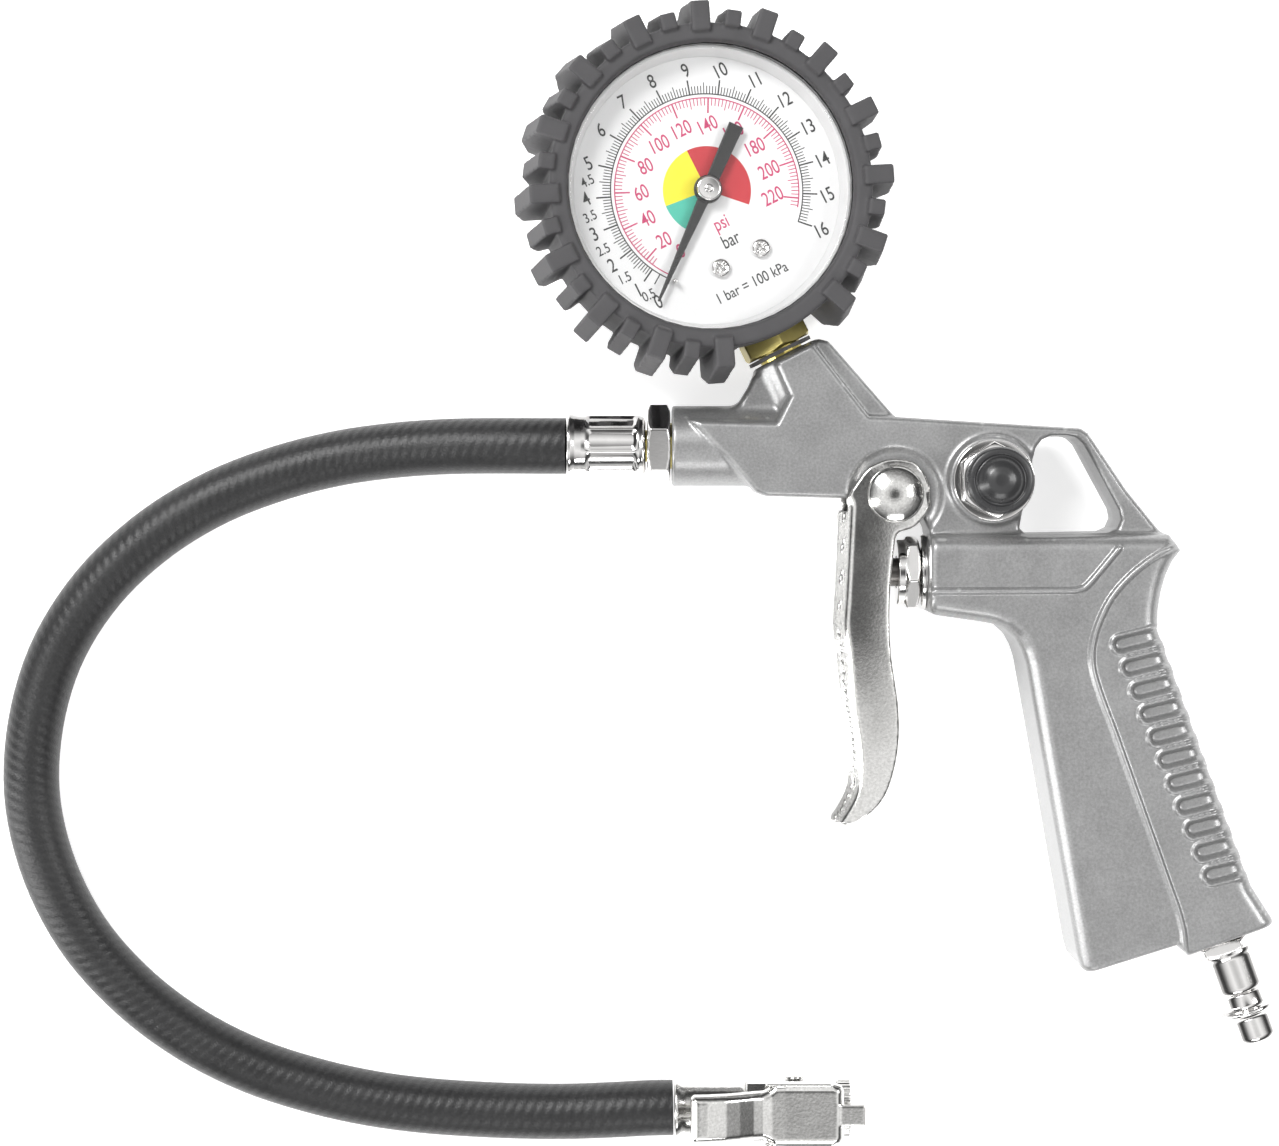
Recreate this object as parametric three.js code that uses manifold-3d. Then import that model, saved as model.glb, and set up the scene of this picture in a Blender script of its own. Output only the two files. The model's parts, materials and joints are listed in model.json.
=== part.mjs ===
// Tyre inflator pistol: a die-cast pistol body with trigger valve and bleed button, a dial gauge in a
// tyre-shaped rubber boot, a short rubber hose and a clip-on chuck. It lies on its side, as on a bench.
// Millimetres, +Z up. The gun is laid out about its trigger pivot, with its mid-plane at z = 0, and the
// whole group is then moved so that the origin is under the middle of its box, on the bench.

import * as THREE from 'three';
import { mergeVertices } from 'three/addons/utils/BufferGeometryUtils.js';
import Module from 'manifold-3d';

const wasm = await Module();
wasm.setup();

// ---------------------------------------------------------------- driving dimensions, mm and degrees

const GAP = 0.3; // between pieces that touch
const SLIDE = 0.35; // between a moving piece and the bore around it
const ROUND = 14; // sides of a turned piece
const FINE = 20; // sides of a turned piece that shows
const WIDE = 48; // sides of the gauge's large rings

// gun body
const BODY_HALF = 9.4; // half thickness of barrel flats, hump and frame
const GRIP_HALF = 14; // half thickness of valve housing and grip
const GUSSET_HALF = 4.6; // half thickness of the two webs beside the hump
const THROUGH = 2 * GRIP_HALF; // reach of a cut that goes right through the gun
const BARREL = { radius: 8.6, y: 10.3, muzzleX: -47.3, bore: 3.0, threadRadius: 5.2, threadLength: 11 };
const PIVOT_BOSS_RADIUS = 6.5;
const CHEEK_POCKET_RADIUS = 9.9;
const GROOVE = { count: 11, first: [57.6, -31.4], last: [76.2, -80.8], radius: 1.9 };

// trigger
const SHEET = 1.6; // pressed sheet
const CHEEK_INNER = BODY_HALF - 0.8; // half the width between the cheeks, sunk into the body's pockets
const EYE_RADIUS = 7.4;
const RIVET = { radius: 2.8, headRadius: 6.0, headHeight: 2.4 };

// trigger valve, along +x from the front of the housing
const VALVE = { x: 7.5, y: -16.8, bore: 5.5, depth: 38 };
const GLAND = { acrossFlats: 14, length: 3.1, collarRadius: 7.0, collarLength: 1.6, spigot: 5 };
const GLAND_WASHER = { radius: 8.0, thickness: 1.2 };
const PLUNGER = { radius: 3.05, tipX: -9.7, endX: 18.2 };
const SEAT = { offset: 15, length: 4, hole: 2.2 };
const POPPET = { radius: 4.4, thickness: 2.0, stemRadius: 1.5, sealThickness: 1.2 };
const VALVE_SPRING = { radius: 3.7, wire: 0.45, turns: 5.5 };
const AIRWAY = { x: 20.6, radius: 1.7 }; // from the valve chamber, through the bleed chamber, to the barrel

// bleed valve, along z at its boss
const BLEED = { x: 20.6, y: 3.0, bossRadius: 9.2, bossTop: BODY_HALF + 1.5, bore: 6.2, floor: -4 };
const BLEED_WASHER = { radius: 8.6, thickness: 1.0 };
const BLEED_NUT = { acrossFlats: 14.2, length: 4.0, spigot: 3.5 };
const BUTTON = { radius: 7.0, sleeveRadius: 5.2, capHeight: 5.0, dome: 2.2, travel: 2.5 };
const BLEED_STEM = { radius: 1.5, flange: 3.5, flangeThickness: 1.0, tail: 4.5 };
const BLEED_SEAL = { radius: BLEED.bore - 0.4, thickness: 1.2 };
const BLEED_SPRING = { radius: 3.0, wire: 0.4, turns: 4.5 };

// gauge: its own frame has x to the dial's right, y to its 12 o'clock and z out of its face
const STEM_ANGLE = 26.5; // from the grip's direction, about z
const GAUGE_TURN = 6.5; // about the stem, as screwed home
const GAUGE_SEAT = [-23.8, 29.8]; // where the stem enters the hump
const CASE = { radius: 31.5, wall: 0.8, front: 12.8 };
const GAUGE_RISE = CASE.radius + 6.5; // from that seat to the middle of the dial
const BOOT = { radius: CASE.radius + GAP + 2.2, front: 17.3, window: CASE.radius - 1.5, lip: 2.1,
  backLip: 0.9, backWindow: CASE.radius - 6.5 };
const LUG = { count: 16, width: 4.6, longTip: BOOT.radius + 4.3, longPeak: BOOT.radius + 6.4,
  shortTip: BOOT.radius + 2.6, shortPeak: BOOT.radius + 4.8, proud: 1.2, peakDepth: 0.62 };
const STEM = { radius: 4.8, acrossFlats: 14, hexLength: 4.4, thread: 8, bore: 1.6 };
const STEM_SEAL = { radius: 7.2, thickness: 0.8 };
const STEM_BOSS = { radius: 7.4, length: 18.6 }; // in the hump, round the stem's hole
const THREAD_ROOM = 0.4; // round a plain stand-in for a thread
const BLOCK = { halfWidth: 7, bottom: -(CASE.radius - 4), top: -11, front: 7.2, shelf: 6 };
const DIAL = { radius: CASE.radius - 1.3, thickness: 0.6 };
const LENS = { radius: CASE.radius - 2, thickness: 1.4 };
const POINTER = { z: 9.6, thickness: 0.6, length: 26, tail: 15, hub: 3.0, rest: 50.4 };
const HUB_CAP = { radius: 2.6, height: 0.8 };
const STOP_PIN = { radius: 0.5, at: 20.7, angle: 46.2 };
const DIAL_SCREW = { x: 4.8, y: -16, head: 2.0, shank: 0.75 };
const GEAR = { module: 0.25, sectorTeeth: 72, pinionTeeth: 12, thickness: 1.0, pivotAngle: 165 };
const PLATE = { back: -4.4, front: 3.6, thickness: 1.0 };
const ARBOR_RADIUS = 0.5;
const TUBE = { radius: 22, halfWidth: 3.2, halfThickness: 1.1, z: -2.8, from: -69, to: 225 };
const LINK = { tail: 6, tailAngle: 215, width: 1.6, thickness: 0.8, z: -1.7 };

// hose and its fitting
const HOSE_RADIUS = 6;
const HOSE_NUT = { acrossFlats: 15.5, length: 5.0 };
const FERRULE = { radius: HOSE_RADIUS + 0.7, lipRadius: HOSE_RADIUS + 1.1, length: 16.8,
  bore: HOSE_RADIUS - 0.4 };

// inlet plug, along the grip's end
const INLET = { foot: [71.0, -94.4], angle: 20, bore: 4.2, depth: 82 };
const NIPPLE = { acrossFlats: 14.2, hex: 2.6, shankRadius: 5.8, shank: 9.2, neckRadius: 4.9, neck: 3.9,
  ringRadius: 6.1, ring: 1.4, tipRadius: 4.8, tip: 6.2, bore: 2.6, thread: 7, threadRadius: 5 };
const NIPPLE_WASHER = { radius: 7.6, thickness: 0.6 };
const FILTER = { radius: 3.7, thickness: 2.0 };
const GRIP_PLUG = { x: 58.9, y: -95.6, radius: 1.3, length: 4.2 };

// chuck: its own frame has x out of its mouth and z up
const CHUCK = { at: [-46.6, -134.0], flare: HOSE_RADIUS + 1.65, ferruleRadius: HOSE_RADIUS + 0.5,
  ferruleLength: 15.5,
  halfWidth: 6.2, bodyEnd: 35.0, mouth: 4.2, mouthDepth: 6.7, capRadius: 6.5, cap: 3.2 };
const CHUCK_PIN = { x: 26.0, z: 3.2, radius: 1.2, halfLength: 7.4 };
const CHUCK_LEVER = { sheet: 1.2, flange: 0.4, top: 7.8, lift: 5.4, narrow: 5.3, wide: 6.9,
  rear: 3.3, bend: 11, step: 19, tongue: 2.3, proud: 3.0 };
const CHUCK_SPRING = { radius: 1.5, wire: 0.3, turns: 2.5, floor: 4.4 };

// ------------------------------------------------------------------------------------- colours

const finish = (color, metalness, roughness) => () =>
  new THREE.MeshStandardMaterial({ color, metalness, roughness });
const castPaint = finish(0x9c9c9c, 0.6, 0.45);
const chrome = finish(0xd8d8d6, 1, 0.18);
const steel = finish(0x8a8a8a, 1, 0.4);
const darkSteel = finish(0x4c4a4a, 1, 0.35);
const brass = finish(0xa8933c, 1, 0.35);
const rubber = finish(0x3a3a3c, 0, 0.75);
const blackPlastic = finish(0x222224, 0, 0.3);
const dialWhite = finish(0xf2f2f0, 0, 0.6);
const clear = finish(0xffffff, 0, 0.05);

// ------------------------------------------------------------------------------------- helpers

// position-only copy of a geometry: welded, without flat triangles, faces pointing out
function welded(geometry) {
  const bare = new THREE.BufferGeometry();
  bare.setAttribute('position', geometry.attributes.position);
  if (geometry.index) bare.setIndex(geometry.index);
  const merged = mergeVertices(bare, 1e-4);
  const positions = merged.attributes.position.array;
  const corner = (i) => new THREE.Vector3(positions[3 * i], positions[3 * i + 1], positions[3 * i + 2]);
  const triangles = [];
  let volume = 0;
  for (let i = 0; i < merged.index.count; i += 3) {
    const [a, b, c] = [0, 1, 2].map((k) => merged.index.getX(i + k));
    if (a === b || b === c || c === a) continue;
    triangles.push([a, b, c]);
    volume += corner(a).dot(corner(b).cross(corner(c)));
  }
  const order = volume < 0 ? triangles.map(([a, b, c]) => [a, c, b]) : triangles;
  merged.setIndex(order.flat());
  return merged;
}

function solid(geometry) {
  const mesh = welded(geometry);
  return new wasm.Manifold(new wasm.Mesh({
    numProp: 3,
    vertProperties: new Float32Array(mesh.attributes.position.array),
    triVerts: new Uint32Array(mesh.index.array),
  }));
}

function surface(manifold) {
  const { vertProperties, triVerts } = manifold.getMesh();
  const geometry = new THREE.BufferGeometry();
  geometry.setAttribute('position', new THREE.BufferAttribute(new Float32Array(vertProperties), 3));
  geometry.setIndex([...triVerts]);
  return geometry;
}

const join = (...parts) => parts.reduce((whole, part) => whole.add(part));
const cut = (whole, ...tools) => tools.reduce((left, tool) => left.subtract(tool), whole);

// a mesh from a geometry or a manifold
function piece(name, shape, material) {
  const geometry = shape.isBufferGeometry ? welded(shape) : surface(shape);
  geometry.computeVertexNormals();
  const mesh = new THREE.Mesh(geometry, material());
  mesh.name = name;
  return mesh;
}

function prism(shape, low, high, bevel = 0, curveSegments = 6) {
  const geometry = new THREE.ExtrudeGeometry(shape, {
    depth: high - low - 2 * bevel, curveSegments, bevelEnabled: bevel > 0,
    bevelSize: bevel, bevelThickness: bevel, bevelOffset: -bevel, bevelSegments: 1 });
  return geometry.translate(0, 0, low + bevel);
}

const outline = (points) => new THREE.Shape(points.map(([x, y]) => new THREE.Vector2(x, y)));
const plate = (points, low, high, bevel) => solid(prism(outline(points), low, high, bevel));

// a turned solid along +z from [radius, z] points: a closed ring when it misses the axis
function turned(profile, sides = ROUND) {
  const onAxis = profile[0][0] === 0;
  const points = onAxis ? profile : [...profile, profile[0]];
  const lathe = new THREE.LatheGeometry(points.map(([r, z]) => new THREE.Vector2(r, z)), sides);
  return lathe.rotateX(Math.PI / 2);
}

const rod = (radius, low, high, sides = ROUND) =>
  turned([[0, low], [radius, low], [radius, high], [0, high]], sides);
const ring = (inner, outer, low, high, sides = ROUND) =>
  turned([[inner, low], [outer, low], [outer, high], [inner, high]], sides);
const box = (x0, x1, y0, y1, z0, z1) =>
  new THREE.BoxGeometry(x1 - x0, y1 - y0, z1 - z0)
    .translate((x0 + x1) / 2, (y0 + y1) / 2, (z0 + z1) / 2);
const alongX = (geometry) => geometry.rotateY(Math.PI / 2);
const alongDown = (geometry) => geometry.rotateX(Math.PI / 2); // z to -y
const alongY = (geometry) => geometry.rotateX(-Math.PI / 2);
const move = (geometry, x, y, z) => geometry.translate(x, y, z);

// a hexagon bar along z with both ends' corners turned off; spin turns its corners about z
function hexBar(acrossFlats, low, high, spin = 0) {
  const corner = acrossFlats / Math.sqrt(3);
  const chamfer = corner - acrossFlats / 2;
  const bar = new THREE.CylinderGeometry(corner, corner, high - low, 6)
    .rotateX(Math.PI / 2).rotateZ(THREE.MathUtils.degToRad(spin)).translate(0, 0, (low + high) / 2);
  const turning = turned([[0, low], [corner - chamfer, low], [corner + 0.01, low + chamfer * 0.6],
    [corner + 0.01, high - chamfer * 0.6], [corner - chamfer, high], [0, high]]);
  return solid(bar).intersect(solid(turning));
}

class Helix extends THREE.Curve {
  constructor(radius, turns, length) {
    super();
    Object.assign(this, { radius, turns, length });
  }

  getPoint(t, target = new THREE.Vector3()) {
    const angle = 2 * Math.PI * this.turns * t;
    return target.set(this.radius * Math.cos(angle), this.radius * Math.sin(angle), this.length * t);
  }
}

// a wire along a curve, with a section of a few sides
function wire(curve, halfWidth, halfHeight, sides, steps) {
  const section = new THREE.Shape();
  for (let i = 0; i < sides; i += 1) {
    const angle = (2 * Math.PI * (i + 0.5)) / sides;
    const [x, y] = [halfWidth * Math.cos(angle), halfHeight * Math.sin(angle)];
    if (i === 0) section.moveTo(x, y);
    else section.lineTo(x, y);
  }
  section.closePath();
  return new THREE.ExtrudeGeometry(section, { steps, extrudePath: curve, bevelEnabled: false });
}

const spring = ({ radius, wire: gauge, turns }, length) =>
  wire(new Helix(radius, turns, length), gauge, gauge, 4, Math.round(turns * 9));

function group(name, ...children) {
  const holder = new THREE.Group();
  holder.name = name;
  holder.add(...children);
  return holder;
}

const polar = (radius, degrees) => {
  const angle = THREE.MathUtils.degToRad(degrees);
  return [radius * Math.cos(angle), radius * Math.sin(angle)];
};

// directions of the gauge stem and of the inlet plug in the gun's plane
const stemUp = polar(1, 90 + STEM_ANGLE);
const inletDown = polar(1, -90 + INLET.angle);

// --------------------------------------------------------------------------------------- gun body

function gunBody() {
  const { radius, y, muzzleX, bore, threadRadius, threadLength } = BARREL;
  const housingX = VALVE.x;
  const barrel = solid(move(alongX(rod(radius, 0, 27, FINE)), muzzleX, y, 0));

  const flats = plate([[-43.4, 15.7], [-35.3, 7.1], [-29.5, 0.4], [-27.3, -0.4], [-9.5, -0.9],
    [-2, -5], [6, -4.9], [housingX, -8.2], [57, -9.2], [49, 0.9], [40.9, 12.9], [39.3, 14],
    [0.2, 16.4], [-5.6, 16.6], [-17.6, 32.0], [-25.2, 28.2], [-25.2, 27.1], [-22.4, 20.9],
    [-25.2, 15.3]], -BODY_HALF, BODY_HALF, 1.1);
  const frontGusset = plate([[-33.8, 14], [-33.8, 18.3], [-31, 22.8], [-30.1, 24.9], [-28, 26.7],
    [-20, 30.9], [-18, 14]], -GUSSET_HALF, GUSSET_HALF, 0.8);
  const rearGusset = plate([[-18, 31.9], [-15.9, 33.1], [-13.8, 32.5], [0.2, 16.6], [0.2, 12],
    [-12, 12]], -GUSSET_HALF, GUSSET_HALF, 0.8);
  const stemBoss = solid(alongY(rod(STEM_BOSS.radius, -0.4 - STEM_BOSS.length, -0.4))
    .rotateZ(THREE.MathUtils.degToRad(STEM_ANGLE))
    .translate(GAUGE_SEAT[0] + 1.0, GAUGE_SEAT[1] + 0.3, 0));
  const pivotBoss = solid(rod(PIVOT_BOSS_RADIUS, -BODY_HALF, BODY_HALF));

  const grip = new THREE.Shape();
  grip.moveTo(housingX, -9.0);
  grip.lineTo(57.6, -8.4);
  grip.lineTo(60.2, -11.8);
  grip.lineTo(58.3, -14.2);
  grip.quadraticCurveTo(55.2, -20, 55.3, -28.2);
  grip.lineTo(75.5, -83);
  grip.lineTo(80.6, -90.9);
  grip.lineTo(61.9, -97.6);
  grip.lineTo(59.6, -95.4);
  grip.lineTo(42.6, -100.8);
  grip.quadraticCurveTo(40.2, -101.3, 38.9, -99);
  grip.lineTo(27.5, -35.7);
  grip.quadraticCurveTo(24.3, -27.4, 18, -26.9);
  grip.lineTo(housingX, -25.4);
  grip.closePath();
  const handle = solid(prism(grip, -GRIP_HALF, GRIP_HALF, 2.2));

  const hangHole = plate([[31.4, 11.2], [36.1, 12], [39.3, 10.5], [46.9, -3.4], [46.9, -6.9],
    [44.7, -7.7], [28, -8], [26.9, -7], [27.6, -3.2], [29.2, 2], [29.6, 7]], -THROUGH, THROUGH);
  const bleedBoss = solid(rod(BLEED.bossRadius, 0, BLEED.bossTop, FINE)
    .translate(BLEED.x, BLEED.y, 0));

  const pocketFloor = CHEEK_INNER - GAP - 0.1;
  const pockets = [[pocketFloor, THROUGH], [-THROUGH, -pocketFloor]].map(([low, high]) =>
    solid(rod(CHEEK_POCKET_RADIUS, low, high, FINE)));
  const grooves = [];
  for (let i = 0; i < GROOVE.count; i += 1) {
    const t = i / (GROOVE.count - 1);
    const [x, y0] = [0, 1].map((k) => THREE.MathUtils.lerp(GROOVE.first[k], GROOVE.last[k], t));
    grooves.push(solid(rod(GROOVE.radius, -THROUGH, THROUGH, 8).translate(x, y0, 0)));
  }

  const airway = [
    move(alongX(rod(threadRadius, -1, threadLength)), muzzleX, y, 0),
    move(alongX(rod(bore, 0, BLEED.x - muzzleX)), muzzleX, y, 0),
    alongY(rod(STEM.radius + THREAD_ROOM, -STEM.thread - 2, 5)).rotateZ(THREE.MathUtils.degToRad(STEM_ANGLE))
      .translate(...GAUGE_SEAT, 0),
    alongY(rod(STEM.bore + 0.6, -24, 1)).rotateZ(THREE.MathUtils.degToRad(STEM_ANGLE))
      .translate(...GAUGE_SEAT, 0),
    rod(BLEED.bore, BLEED.floor, THROUGH).translate(BLEED.x, BLEED.y, 0),
    move(alongX(rod(VALVE.bore, -1, VALVE.depth)), VALVE.x, VALVE.y, 0),
    move(alongY(rod(AIRWAY.radius, 0, BARREL.y - VALVE.y)), AIRWAY.x, VALVE.y, 0),
    rod(RIVET.radius + SLIDE, -THROUGH, THROUGH),
    alongDown(rod(INLET.bore, -INLET.depth, 1)).rotateZ(THREE.MathUtils.degToRad(INLET.angle))
      .translate(...INLET.foot, 0),
    alongDown(rod(NIPPLE.threadRadius + GAP, -NIPPLE.thread - 1, 1))
      .rotateZ(THREE.MathUtils.degToRad(INLET.angle)).translate(...INLET.foot, 0),
    alongDown(rod(GRIP_PLUG.radius + 0.3, -3, 1)).rotateZ(THREE.MathUtils.degToRad(INLET.angle))
      .translate(GRIP_PLUG.x, GRIP_PLUG.y, 0),
  ].map(solid);

  const casting = cut(join(barrel, flats, frontGusset, rearGusset, stemBoss, pivotBoss, bleedBoss),
    ...pockets);
  return cut(join(casting, handle), hangHole, ...grooves, ...airway);
}

// ----------------------------------------------------------------------------------------- trigger

// the front line of the trigger's side, moved back by inset
const triggerFront = (inset) => [[-10.9, -2.8], [-11.8, -20.9], [-12.1, -29], [-10.4, -39.3],
  [-8, -52], [-7.9, -62], [-11.4, -69.0]].map(([x, y]) => [x + inset, y + inset * 0.12]);

function triggerSide(inset, backShift) {
  const front = triggerFront(inset).map(([x, y]) => new THREE.Vector2(x, y));
  const back = [[-9.8, -70.8], [-6.2, -69.4], [-1.9, -64.7], [0.6, -56.1], [0.9, -46.2],
    [-0.9, -33.1], [-1.1, -20.9], [0.2, -7.4]].map(([x, y]) => new THREE.Vector2(x + backShift, y + inset));
  const side = new THREE.Shape();
  const top = inset === 0 ? [[7.2, -1], [2, 6.8], [-5, 4.8]] : [[back[7].x, 12], [front[0].x, 12]];
  side.moveTo(...top[0]);
  for (const [x, y] of top.slice(1)) side.lineTo(x, y);
  side.lineTo(front[0].x, front[0].y);
  side.splineThru(front.slice(1));
  side.lineTo(back[0].x, back[0].y);
  side.splineThru(back.slice(1));
  return side;
}

function triggerLever() {
  const outer = CHEEK_INNER + SHEET;
  const arm = solid(prism(triggerSide(0, 0), -outer, outer, 0.8, 2));
  const eyes = solid(rod(EYE_RADIUS, -outer, outer, FINE));
  const hollow = solid(prism(triggerSide(SHEET, 12), -CHEEK_INNER, CHEEK_INNER, 0, 2));
  const between = solid(box(-THROUGH, THROUGH, -2.8, THROUGH, -CHEEK_INNER, CHEEK_INNER));
  const hole = solid(rod(RIVET.radius + GAP, -THROUGH, THROUGH));
  return cut(join(arm, eyes), hollow, between, hole);
}

function triggerRivet() {
  const shoulder = CHEEK_INNER + SHEET + GAP;
  const { radius, headRadius, headHeight } = RIVET;
  const dome = [[headRadius, shoulder + 0.5], [headRadius * 0.86, shoulder + headHeight * 0.6],
    [headRadius * 0.5, shoulder + headHeight * 0.92]];
  return turned([[0, -shoulder - headHeight], ...dome.map(([r, z]) => [r, -z]).reverse(),
    [headRadius, -shoulder], [radius, -shoulder], [radius, shoulder], [headRadius, shoulder], ...dome,
    [0, shoulder + headHeight]], FINE);
}

// ------------------------------------------------------------------------------------ trigger valve

// everything here is laid out along +z from the housing's front face, then turned onto the x axis
function valvePieces() {
  const along = (shape) => (shape.isBufferGeometry
    ? move(alongX(shape), VALVE.x, VALVE.y, 0)
    : move(alongX(surface(shape)), VALVE.x, VALVE.y, 0));
  const hole = PLUNGER.radius + SLIDE;
  const washerBack = -GAP;
  const washerFront = washerBack - GLAND_WASHER.thickness;
  const hexBack = washerFront - GAP;
  const hexFront = hexBack - GLAND.length;
  const collarFront = hexFront - GLAND.collarLength;
  const spigotRadius = VALVE.bore - GAP;

  const gland = cut(join(hexBar(GLAND.acrossFlats, hexFront, hexBack, 0),
    solid(rod(GLAND.collarRadius, collarFront, hexFront + 0.3)),
    solid(rod(spigotRadius, hexBack - 0.5, GLAND.spigot))), solid(rod(hole, -30, 30)));
  const washer = ring(spigotRadius + GAP, GLAND_WASHER.radius, washerFront, washerBack);

  const start = PLUNGER.tipX - VALVE.x;
  const end = PLUNGER.endX - VALVE.x;
  const groove = GLAND.spigot + 0.6;
  const grooveFloor = PLUNGER.radius - 0.9;
  const plunger = turned([[0, start], [PLUNGER.radius - 0.5, start], [PLUNGER.radius, start + 0.5],
    [PLUNGER.radius, groove], [grooveFloor, groove], [grooveFloor, groove + 1.8],
    [PLUNGER.radius, groove + 1.8], [PLUNGER.radius, end], [0, end]]);
  const oRing = ring(grooveFloor + 0.15, PLUNGER.radius + 1.4, groove + 0.3, groove + 1.5);

  const seatFront = SEAT.offset;
  const seatBack = seatFront + SEAT.length;
  const seat = turned([[SEAT.hole, seatFront], [spigotRadius, seatFront], [spigotRadius, seatBack - 1],
    [SEAT.hole + 1.6, seatBack - 1], [SEAT.hole + 1, seatBack], [SEAT.hole, seatBack]]);

  const sealFront = seatBack + GAP;
  const sealBack = sealFront + POPPET.sealThickness;
  const seal = ring(POPPET.stemRadius + 0.2, POPPET.radius - 0.2, sealFront, sealBack);
  const discFront = sealBack + 0.2;
  const discBack = discFront + POPPET.thickness;
  const poppet = turned([[0, end + GAP], [POPPET.stemRadius, end + GAP], [POPPET.stemRadius, discFront],
    [POPPET.radius, discFront], [POPPET.radius, discBack], [2, discBack], [1.6, discBack + 2],
    [0, discBack + 2]]);
  const springStart = discBack + VALVE_SPRING.wire + GAP;
  const springEnd = VALVE.depth - VALVE_SPRING.wire - GAP;
  const coil = move(spring(VALVE_SPRING, springEnd - springStart), 0, 0, springStart);

  return [
    piece('gland_washer', along(washer), chrome),
    piece('gland_nut', along(gland), chrome),
    piece('valve_plunger', along(plunger), darkSteel),
    piece('plunger_o_ring', along(oRing), rubber),
    piece('valve_seat', along(seat), brass),
    piece('valve_poppet', along(poppet), brass),
    piece('poppet_seal', along(seal), rubber),
    piece('valve_spring', along(coil), steel),
  ];
}

// -------------------------------------------------------------------------------------- bleed valve

function bleedPieces() {
  const washerLow = BLEED.bossTop + GAP;
  const nutLow = washerLow + BLEED_WASHER.thickness + GAP;
  const nutTop = nutLow + BLEED_NUT.length;
  const spigot = BLEED.bore - GAP;
  const sleeveBore = BUTTON.sleeveRadius + SLIDE;
  const nut = cut(join(hexBar(BLEED_NUT.acrossFlats, nutLow, nutTop, 12),
    solid(rod(spigot, BLEED.bossTop - BLEED_NUT.spigot, nutLow + 0.3))), solid(rod(sleeveBore, 0, 30)));

  const capLow = nutTop + BUTTON.travel + 0.5;
  const capTop = capLow + BUTTON.capHeight;
  const sleeveLow = BLEED.bossTop - 1;
  const { radius, sleeveRadius, dome } = BUTTON;
  const button = turned([[0, sleeveLow], [sleeveRadius, sleeveLow], [sleeveRadius, capLow],
    [radius - 0.4, capLow], [radius, capLow + 0.4], [radius, capTop - 0.7], [radius - 0.7, capTop],
    [radius - 1.7, capTop], [radius * 0.6, capTop + dome * 0.62], [radius * 0.3, capTop + dome * 0.92],
    [0, capTop + dome]], FINE);

  // the seal closes on the end of the nut's spigot, held up by the spring under the stem's flange
  const sealTop = BLEED.bossTop - BLEED_NUT.spigot - GAP;
  const sealLow = sealTop - BLEED_SEAL.thickness;
  const seal = ring(BLEED_STEM.radius + 0.2, BLEED_SEAL.radius, sealLow, sealTop);
  const flangeTop = sealLow - GAP;
  const flangeLow = flangeTop - BLEED_STEM.flangeThickness;
  const stem = turned([[0, flangeLow - BLEED_STEM.tail], [BLEED_STEM.radius, flangeLow - BLEED_STEM.tail],
    [BLEED_STEM.radius, flangeLow], [BLEED_STEM.flange, flangeLow], [BLEED_STEM.flange, flangeTop],
    [BLEED_STEM.radius, flangeTop], [BLEED_STEM.radius, sleeveLow - GAP], [0, sleeveLow - GAP]], 12);
  const springLow = BLEED.floor + BLEED_SPRING.wire + GAP;
  const springTop = flangeLow - BLEED_SPRING.wire - GAP;
  const coil = spring(BLEED_SPRING, springTop - springLow).translate(0, 0, springLow);

  return group('bleed valve',
    piece('bleed_washer', ring(spigot + GAP, BLEED_WASHER.radius, washerLow,
      washerLow + BLEED_WASHER.thickness, FINE), chrome),
    piece('bleed_nut', nut, chrome),
    piece('bleed_button', button, blackPlastic),
    piece('bleed_stem', stem, steel),
    piece('bleed_seal', seal, rubber),
    piece('bleed_spring', coil, steel));
}

// -------------------------------------------------------------------------------------------- gauge

// the boot's back edge and the grip's side lie in one plane, so the gun rests flat on both
const bootBack = -(GRIP_HALF - LUG.longTip * Math.sin(THREE.MathUtils.degToRad(GAUGE_TURN)))
  / Math.cos(THREE.MathUtils.degToRad(GAUGE_TURN));
const caseBack = bootBack + BOOT.backLip + GAP;

function gaugeBoot() {
  const { radius, front, window, lip, backLip, backWindow } = BOOT;
  const inner = CASE.radius + GAP;
  const wall = solid(turned([[inner, bootBack + backLip], [backWindow, bootBack + backLip],
    [backWindow, bootBack], [radius - 1, bootBack], [radius, bootBack + 1], [radius, front - 1],
    [radius - 0.9, front], [window + 0.9, front], [window, front - 0.9], [window, front - lip],
    [inner, front - lip]], WIDE));
  const middle = front + (bootBack - front) * LUG.peakDepth;
  const lug = (tip, peak, root, angle) => {
    const side = outline([[inner + 0.6, bootBack], [tip, bootBack], [peak, middle], [tip, front + LUG.proud],
      [root + 0.8, front + LUG.proud], [root, front - 0.2], [inner + 0.6, front - 0.2]]);
    const block = prism(side, -LUG.width / 2, LUG.width / 2).rotateX(Math.PI / 2);
    return solid(block.rotateZ(THREE.MathUtils.degToRad(angle)));
  };
  const pitch = 360 / LUG.count;
  const lugs = [];
  for (let i = 1; i < LUG.count; i += 1) {
    lugs.push(lug(LUG.longTip, LUG.longPeak, window + 1.7, -90 + pitch * i));
    const last = i === LUG.count - 1;
    if (!last) lugs.push(lug(LUG.shortTip, LUG.shortPeak, window + 3.0, -90 + pitch * (i + 0.5)));
  }
  const notchHalf = STEM.acrossFlats / Math.sqrt(3) + 0.6;
  const notch = solid(box(-notchHalf, notchHalf, -60, -20, -40, notchHalf));
  return cut(join(wall, ...lugs), notch);
}

function gaugeCase() {
  const { radius, wall, front } = CASE;
  const cup = solid(turned([[0, caseBack], [radius - 1, caseBack], [radius, caseBack + 1],
    [radius, front], [radius - wall, front], [radius - wall, caseBack + wall], [0, caseBack + wall]], WIDE));
  const stemHole = solid(alongDown(rod(STEM.radius + GAP, 20, 60)));
  return cut(cup, stemHole);
}

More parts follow.
